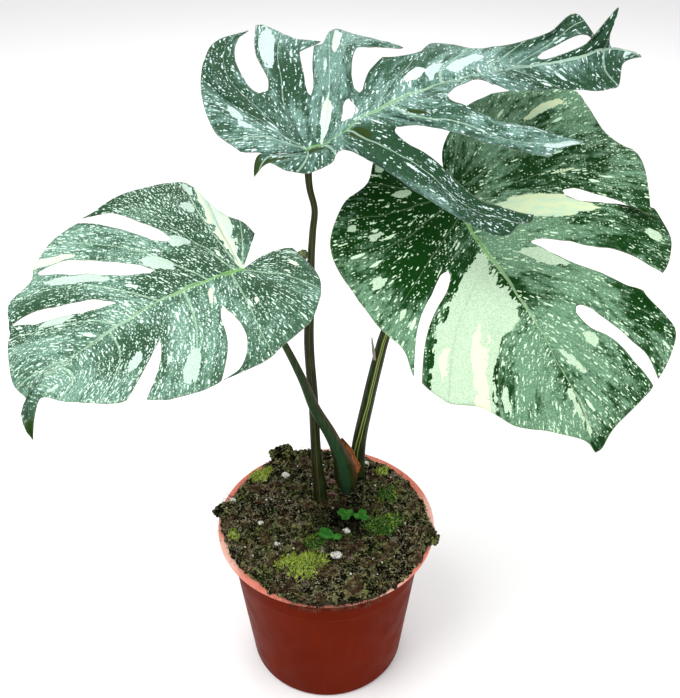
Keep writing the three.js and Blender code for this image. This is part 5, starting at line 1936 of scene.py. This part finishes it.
def leaflet(foot, direction, length, width, tilt, notch):
    """Points and faces of a small round leaf with a notch, closed and slightly cupped"""
    rings = 6
    sectors = 28
    along = np.array([math.cos(direction), math.sin(direction), 0])
    side = np.array([-math.sin(direction), math.cos(direction), 0])
    centre = np.array(foot) + along * length * 0.95 + np.array([0, 0, tilt * length])
    points = [centre]
    for ring in range(1, rings + 1):
        for sector in range(sectors):
            angle = 2 * math.pi * (sector + 0.5) / sectors - math.pi
            dent = 1 - notch * math.exp(-(angle / 0.35) ** 2)
            reach = ring / rings * (1 + (dent - 1) * (ring / rings) ** 2)
            u = length * reach * math.cos(angle)
            v = width * reach * math.sin(angle)
            cup = 0.22 * width * reach**2 + 0.12 * width * abs(math.sin(angle)) * reach
            points.append(centre + along * u + side * v + np.array([0, 0, tilt * u + cup]))
    faces = []
    for sector in range(sectors):
        after = (sector + 1) % sectors
        faces.append((0, 1 + sector, 1 + after))
        for ring in range(rings - 1):
            a = 1 + ring * sectors
            faces.append((a + sector, a + sectors + sector, a + sectors + after))
            faces.append((a + sector, a + sectors + after, a + after))
    return thicken(np.array(points), np.array(faces), np.full(len(points), LEAFLET_HALF))[:2]


# Sprouts: place and height in mm; direction in radians, length and width of each leaflet; notch
SPROUTS = [
    ("seedling", (4, -21), 4.2, [(2.9, 4.4, 3.8), (-0.3, 2.6, 2.2)], 0.3),
    ("clover_left", (11, -3), 4.6, [(0.4, 2.6, 2.4), (2.5, 2.9, 2.7), (4.6, 2.6, 2.4)], 0.28),
    ("clover_right", (19.5, -5), 4.2, [(1.3, 2.6, 2.3), (3.4, 2.4, 2.2), (5.5, 2.6, 2.3)], 0.28),
]


class MONSTERA_OT_sprouts(bpy.types.Operator):
    """Makes the seedling and the two clover-like sprouts"""

    bl_idname = "monstera.sprouts"
    bl_label = "Sprouts"

    def execute(self, context):
        look = context.scene.monstera_moss
        green, sheet, place = new_material("sprout green", 0.5, 0.1)
        tone = sheet.noise(place, 350.0)
        colour = sheet.mix(sheet.step(tone, 0.35, 0.7), look.sprout, (0.06, 0.24, 0.03))
        sheet.finish("Base Color", colour)
        sheet.relief(sheet.noise(place, 1500.0), 0.0003)
        for name, (x, y), height, leaflets, notch in SPROUTS:
            ground = soil_top(x, y) - STEM_SUNK
            top = (x, y, ground + height + STEM_SUNK)
            steps = np.linspace(0, 1, 7)
            stem = [(x + 0.4 * math.sin(s * 3), y, ground + (height + STEM_SUNK) * s) for s in steps]
            stem[-1] = top
            parts = [tubes("stem", [(stem, np.linspace(0.55, 0.32, 7))], 8, green)]
            for direction, length, width in leaflets:
                places, faces = leaflet(top, direction, length, width, 0.18, notch)
                parts.append(make_object("leaflet", places, faces, [green]))
            hand_in(join(f"{name}_cupped", parts), "sprout", name)
        return {"FINISHED"}


# Stalks

STALK_STEPS = 90
# Lines down the stalks, where 0 degrees faces the camera and 90 is +X. Each has its middle, its half
# width and its shift over the length in degrees, then its colour and strength
# Edge lines darken the stalks' sides as the camera sees them: partly their brownish edges, partly painted
# shade
STALK_LINES = {
    # The left petiole's broad lighter line facing the camera is a painted highlight
    "petiole_left": [(-70, 26, 0, "edge", 0.8), (74, 17, 0, "brown", 0.8), (-4, 46, 0, "painted_sheen", 0.75)],
    # The top petiole's narrow pale line facing the camera is a painted highlight
    "petiole_top": [(-60, 30, 0, "edge", 0.9), (-6, 16, 8, "brown", 0.5), (-2, 5, 8, "pale", 0.35),
                    (66, 22, 0, "edge", 0.8)],
    "petiole_right": [(-50, 7, 44, "stripe", 0.8), (-14, 5, 26, "stripe", 0.7), (-82, 26, 0, "edge", 0.6),
                      (64, 22, 0, "edge", 0.6)],
}
# Widening to the sides: heights in mm where it starts, is widest and ends, and the share it adds
STALK_WINGS = {
    "petiole_left": (100, 117, 150, 0.5), "petiole_top": (96, 106, 160, 0.1),
    "petiole_right": (96, 108, 150, 0.15),
}
LEAVES = {"petiole_left": LEFT_LEAF, "petiole_top": TOP_LEAF, "petiole_right": RIGHT_LEAF}
# The edge tone is partly the stalks' brownish edge and partly painted shade
STALK_TONES = {
    "edge": (0.016, 0.012, 0.006), "brown": (0.075, 0.022, 0.008), "painted_sheen": (0.022, 0.075, 0.035),
    # The pale tone is the colour of that painted highlight line
    "pale": (0.2, 0.15, 0.1),
}
# The skin knows its height in units of this many mm
HEIGHT_UNIT = 100
# The yellow green joint below the blade: colour, and where it starts and is complete in that unit
JOINT = (0.2, 0.3, 0.09)
JOINT_HEIGHT = (2.5, 2.66)


# The groove at the back: depth as a share of the radius, where it is and how wide, in radians. Then
# the fine ribs: height as a share of the radius and how many
GROOVE = (0.16, 2.7, 0.4)
FINE_RIBS = (0.018, 9)


def stalk_mesh(name, sides):
    """A petiole's closed tube, which widens to its sides, has a groove behind and fine ribs"""
    path, radii = PETIOLES[name]
    foot = (path[0][0], path[0][1], path[0][2] - PETIOLE_DEPTH)
    places = np.array([foot, *path, tuple(LEAVES[name]["base"])], float)
    widths = np.array([radii[0], *radii, radii[-1] * 0.9])
    steps = np.linspace(0, 1, STALK_STEPS)
    line = through(places, steps)
    knots = np.concatenate([[0], np.cumsum(np.linalg.norm(np.diff(places, axis=0), axis=1))])
    radius = np.interp(steps, knots / knots[-1], widths)
    tangents = np.gradient(line, axis=0)
    tangents /= np.linalg.norm(tangents, axis=1, keepdims=True)
    start, widest, end, wing = STALK_WINGS[name]
    points = []
    around = []
    for place, tangent, r in zip(line, tangents, radius):
        toward = np.array([0, -1.0, 0]) - tangent * -tangent[1]
        toward /= np.linalg.norm(toward)
        right = np.cross(tangent, toward)
        height = place[2]
        if height < widest:
            flare = wing * float(smooth_step((height - start) / (widest - start)))
        else:
            flare = wing * float(smooth_step((end - height) / (end - widest)))
        for side in range(sides):
            angle = 2 * math.pi * side / sides
            from_groove = math.remainder(angle - GROOVE[1], 2 * math.pi)
            groove = GROOVE[0] * math.exp(-(from_groove / GROOVE[2]) ** 2)
            ribs = FINE_RIBS[0] * math.cos(FINE_RIBS[1] * angle)
            reach = r * (1 + flare * abs(math.sin(angle)) ** 3 - groove + ribs)
            reach *= 1 - 0.3 * flare * abs(math.cos(angle)) ** 2
            points.append(place + reach * (math.cos(angle) * toward + math.sin(angle) * right))
            around.append((math.cos(angle), math.sin(angle), height / HEIGHT_UNIT))
    faces = []
    for step in range(STALK_STEPS - 1):
        for side in range(sides):
            a = step * sides + side
            b = step * sides + (side + 1) % sides
            faces.append((a, b, b + sides, a + sides))
    for centre, ring in ((line[0], 0), (line[-1], STALK_STEPS - 1)):
        hub = len(points)
        points.append(centre)
        around.append((0, 0, centre[2] / HEIGHT_UNIT))
        for side in range(sides):
            pair = (ring * sides + side, ring * sides + (side + 1) % sides)
            faces.append((hub, pair[1], pair[0]) if ring == 0 else (hub, *pair))
    return points, faces, around


def stalk_material(name, look):
    """Dark glossy green drawn out lengthwise, with its pale and brown lines, painted highlights facing the
    camera and dark sides that are partly painted shade
    """
    material, sheet, place = new_material(f"{name} skin", 0.4, 0.08)
    where = sheet.add("ShaderNodeSeparateXYZ", {0: sheet.attribute("around", "Vector")})
    turn = sheet.math("ARCTAN2", where.outputs["Y"], where.outputs["X"])
    length = sheet.vector("MULTIPLY", place, (1.0, 1.0, 0.06))
    streak = sheet.noise(length, 1100.0)
    mottle = sheet.noise(place, 170.0, 3.0)
    light = tuple(c * 2.1 for c in look.green)
    colour = sheet.mix(sheet.step(streak, 0.35, 0.7), look.green, light)
    colour = sheet.mix(sheet.step(mottle, 0.4, 0.7, 0.0, 0.5), colour, tuple(c * 0.55 for c in look.green))
    tones = {"stripe": look.stripe, **STALK_TONES}
    rise = sheet.step(where.outputs["Z"], 1.0, 1.7)
    waver = sheet.noise(sheet.vector("MULTIPLY", place, (0.0, 0.0, 1.0)), 60.0)
    for middle, half, shift, tone, amount in STALK_LINES[name]:
        centre = sheet.math("MULTIPLY_ADD", rise, math.radians(shift), math.radians(middle))
        centre = sheet.swayed(centre, waver, 0.35)
        off = sheet.math("ABSOLUTE", sheet.math("SUBTRACT", turn, centre))
        inside = sheet.step(off, math.radians(half) * 0.5, math.radians(half), amount, 0.0)
        # The painted highlight down the side facing the camera fades higher up
        if tone == "painted_sheen":
            fade = sheet.step(where.outputs["Z"], 1.15, 1.9, 1.0, 0.25)
            inside = sheet.math("MULTIPLY", inside, fade)
        colour = sheet.mix(inside, colour, tones[tone])
    amount = 0.05 if name == "petiole_top" else 0.35
    joint = sheet.step(where.outputs["Z"], *JOINT_HEIGHT, 0.0, amount)
    colour = sheet.mix(joint, colour, JOINT)
    sheet.finish("Base Color", colour)
    sheet.relief(sheet.math("MULTIPLY_ADD", streak, 0.7, mottle), 0.0004)
    return material


class MONSTERA_OT_stalks(bpy.types.Operator):
    """Makes the three petioles"""

    bl_idname = "monstera.stalks"
    bl_label = "Petioles"

    def execute(self, context):
        look = context.scene.monstera_stalk
        for name in PETIOLES:
            points, faces, around = stalk_mesh(name, look.sides)
            skin = [stalk_material(name, look)]
            stalk = make_object(f"{name}_ribbed", points, faces, skin, attributes={"around": around})
            hand_in(stalk, "stalk", name)
        return {"FINISHED"}


# Sheaths

# Flaps: the edge on the stalk, the free edge and how rippled it is, in mm, read off the photograph
FLAPS = {
    "dried_sheath": (
        [(15.2, 16.4, 116.6), (13.6, 15.4, 122.6), (11.7, 14.2, 130.1), (9.6, 12.2, 138.6),
         (7.8, 9.8, 146.9)],
        [(17, 16.6, 115.2), (19.2, 15.8, 122.9), (17.2, 14.6, 128.3), (13.8, 13, 139), (8.8, 10.4, 148.3)],
        0.5,
    ),
    "sheath_wisp": (
        [(26.4, 20.1, 192), (25.7, 19.6, 198), (24.1, 19.2, 206.4)],
        [(24.9, 19.9, 192.6), (24.3, 19.3, 198.2), (23.7, 19, 207)],
        0.2,
    ),
}
# The nub's middle and half sizes, in mm
NUB = ((-9.2, 0.7, 264.6), (2.4, 1.5, 2.7))


FLAP_HALF = 0.2


def flap_mesh(inner, outer, ripple):
    """A thin rippled flap between two edges"""
    rows = 40
    columns = 12
    steps = np.linspace(0, 1, rows + 1)
    near = through(inner, steps)
    far = through(outer, steps)
    points = []
    for i in range(rows + 1):
        for share in np.linspace(0, 1, columns + 1):
            place = near[i] * (1 - share) + far[i] * share
            wave = ripple * math.sin(share * 8 + i * 0.1) * share
            wave += 0.4 * ripple * rough(i / 5, share * 3, 2.0, 2)
            ragged = 0.5 * ripple * rough(i / 2.5, 4.0, 1.0, 3) * share**3
            points.append(place + np.array([ragged, wave, 0]))
    faces = []
    for i in range(rows):
        for j in range(columns):
            a = i * (columns + 1) + j
            b = a + columns + 1
            faces += [(a, a + 1, b + 1), (a, b + 1, b)]
    return thicken(np.array(points), np.array(faces), np.full(len(points), FLAP_HALF))[:2]


class MONSTERA_OT_sheaths(bpy.types.Operator):
    """Makes the dried sheaths on the petioles and the green nub"""

    bl_idname = "monstera.sheaths"
    bl_label = "Sheaths"

    def execute(self, context):
        paper, sheet, place = new_material("dry sheath", 0.7, 0.1)
        fibres = sheet.noise(sheet.vector("MULTIPLY", place, (1.0, 1.0, 0.1)), 1300.0, 3.0)
        blotch = sheet.noise(place, 210.0, 3.0)
        colour = sheet.mix(sheet.step(blotch, 0.35, 0.65), (0.17, 0.035, 0.012), (0.42, 0.12, 0.035))
        colour = sheet.mix(sheet.step(fibres, 0.5, 0.75, 0.0, 0.7), colour, (0.56, 0.3, 0.13))
        sheet.finish("Base Color", colour)
        sheet.relief(fibres, 0.0004)
        skin, sheet, place = new_material("dry wisp", 0.7, 0.1)
        threads = sheet.noise(sheet.vector("MULTIPLY", place, (1.0, 1.0, 0.1)), 1500.0)
        colour = sheet.mix(threads, (0.12, 0.1, 0.075), (0.5, 0.45, 0.38))
        sheet.finish("Base Color", colour)
        sheet.relief(threads, 0.0003)
        finish = {"dried_sheath": paper, "sheath_wisp": skin}
        for name, (inner, outer, ripple) in FLAPS.items():
            points, faces = flap_mesh(inner, outer, ripple)
            flap = make_object(f"{name}_papery", points, faces, [finish[name]])
            hand_in(flap, "dry_sheath", name)
        self.nub()
        return {"FINISHED"}

    def nub(self):
        """The green nub on the top petiole"""
        olive, sheet, place = new_material("nub skin", 0.5, 0.4)
        tone = sheet.noise(place, 700.0, 3.0)
        colour = sheet.mix(sheet.step(tone, 0.35, 0.65), (0.03, 0.06, 0.015), (0.16, 0.2, 0.07))
        sheet.finish("Base Color", colour)
        sheet.relief(tone, 0.0004)
        unit, faces = ball(4)
        centre, sizes = NUB
        grown = [p * np.array(sizes) * (1 + 0.2 * rough(*(p * 2.2), 3)) for p in unit]
        places = np.array(centre) + np.array(grown)
        hand_in(make_object("nub_curled", places, faces, [olive]), "stalk", "sheath_nub")


# Leaves

class MONSTERA_OT_leaves(bpy.types.Operator):
    """Makes the three blades with their splits, ribs and variegation"""

    bl_idname = "monstera.leaves"
    bl_label = "Leaf blades"

    def execute(self, context):
        look = context.scene.monstera_leaf
        build_blade("blade_left", "leaf_left", LEFT_LEAF, look, "leaf_grey_green")
        build_blade("blade_top", "leaf_top", TOP_LEAF, look, "leaf_grey_green")
        build_blade("blade_right", "leaf_right", RIGHT_LEAF, look, "leaf_green")
        return {"FINISHED"}


# Stage

# Place in m and tilt below the horizon in degrees, fitted to the ellipses of the pot's rim and base
CAMERA_PLACE = (0.0077, -0.37487, 0.46926)
CAMERA_DOWN = 34.37
SENSOR = 36.0
FLOOR_HALF = 4000
FLOOR_HEIGHT = -0.3
LIGHT_TARGET = (0, 0, 0.15)
SKY = 0.75
# Soft round lights: place and size in m, and power in W
LIGHTS = [
    ("key light", (-0.55, -0.35, 1.25), 0.9, 13.0),
    ("side light", (0.95, -0.5, 0.8), 0.9, 4.0),
    ("back light", (0.1, 0.95, 0.95), 1.0, 4.0),
]


class MONSTERA_OT_stage(bpy.types.Operator):
    """Makes the camera, the pale floor and the soft lights"""

    bl_idname = "monstera.stage"
    bl_label = "Stage"

    def execute(self, context):
        look = context.scene.monstera_stage
        scene = context.scene
        camera = bpy.data.cameras.new("camera")
        camera.sensor_width = SENSOR
        camera.lens = look.focal
        eye = bpy.data.objects.new("camera", camera)
        eye.location = CAMERA_PLACE
        eye.rotation_euler = (math.radians(90 - CAMERA_DOWN), 0, 0)
        scene.collection.objects.link(eye)
        scene.camera = eye
        corners = [(-1, -1), (1, -1), (1, 1), (-1, 1)]
        points = [(x * FLOOR_HALF, y * FLOOR_HALF, FLOOR_HEIGHT) for x, y in corners]
        pale, sheet, place = new_material("pale floor", 0.9, 0.1)
        soft = tuple(c * 0.98 for c in look.floor)
        cloud = sheet.noise(place, 3.0)
        sheet.finish("Base Color", sheet.mix(cloud, soft, look.floor))
        make_object("floor", points, [(0, 1, 2, 3)], [pale])
        for name, place, size, power in LIGHTS:
            light = bpy.data.lights.new(name, "AREA")
            light.shape = "DISK"
            light.size = size
            light.energy = power
            lamp = bpy.data.objects.new(name, light)
            lamp.location = place
            aim = Vector(LIGHT_TARGET) - Vector(place)
            lamp.rotation_euler = aim.to_track_quat("-Z", "Y").to_euler()
            scene.collection.objects.link(lamp)
        world = bpy.data.worlds.new("studio")
        world.use_nodes = True
        sky = world.node_tree.nodes["Background"].inputs
        sky["Color"].default_value = (1, 1, 1, 1)
        sky["Strength"].default_value = SKY
        scene.world = world
        scene.view_settings.view_transform = "Standard"
        return {"FINISHED"}


class MONSTERA_PT_panel(bpy.types.Panel):
    """Lists the plant's pieces and their settings"""

    bl_idname = "MONSTERA_PT_panel"
    bl_label = "Potted Monstera"
    bl_space_type = "VIEW_3D"
    bl_region_type = "UI"
    bl_category = "Monstera"

    def draw(self, context):
        for key, kind in SETTINGS.items():
            box = self.layout.box()
            box.label(text=kind.__doc__)
            for prop in kind.__annotations__:
                box.prop(getattr(context.scene, key), prop)
        for operator in OPERATORS:
            self.layout.operator(operator.bl_idname)


OPERATORS = [
    MONSTERA_OT_stage, MONSTERA_OT_pot, MONSTERA_OT_soil, MONSTERA_OT_stalks, MONSTERA_OT_leaves,
    MONSTERA_OT_sheaths, MONSTERA_OT_moss, MONSTERA_OT_perlite, MONSTERA_OT_sprouts,
]


def register():
    for kind in (*SETTINGS.values(), *OPERATORS, MONSTERA_PT_panel):
        bpy.utils.register_class(kind)
    for key, kind in SETTINGS.items():
        setattr(bpy.types.Scene, key, PointerProperty(type=kind))


def unregister():
    for key in SETTINGS:
        delattr(bpy.types.Scene, key)
    for kind in (MONSTERA_PT_panel, *reversed(OPERATORS), *SETTINGS.values()):
        bpy.utils.unregister_class(kind)


def main():
    """Builds every piece in order"""
    register()
    for operator in OPERATORS:
        group, name = operator.bl_idname.split(".")
        getattr(getattr(bpy.ops, group), name)()


if __name__ == "__main__":
    main()
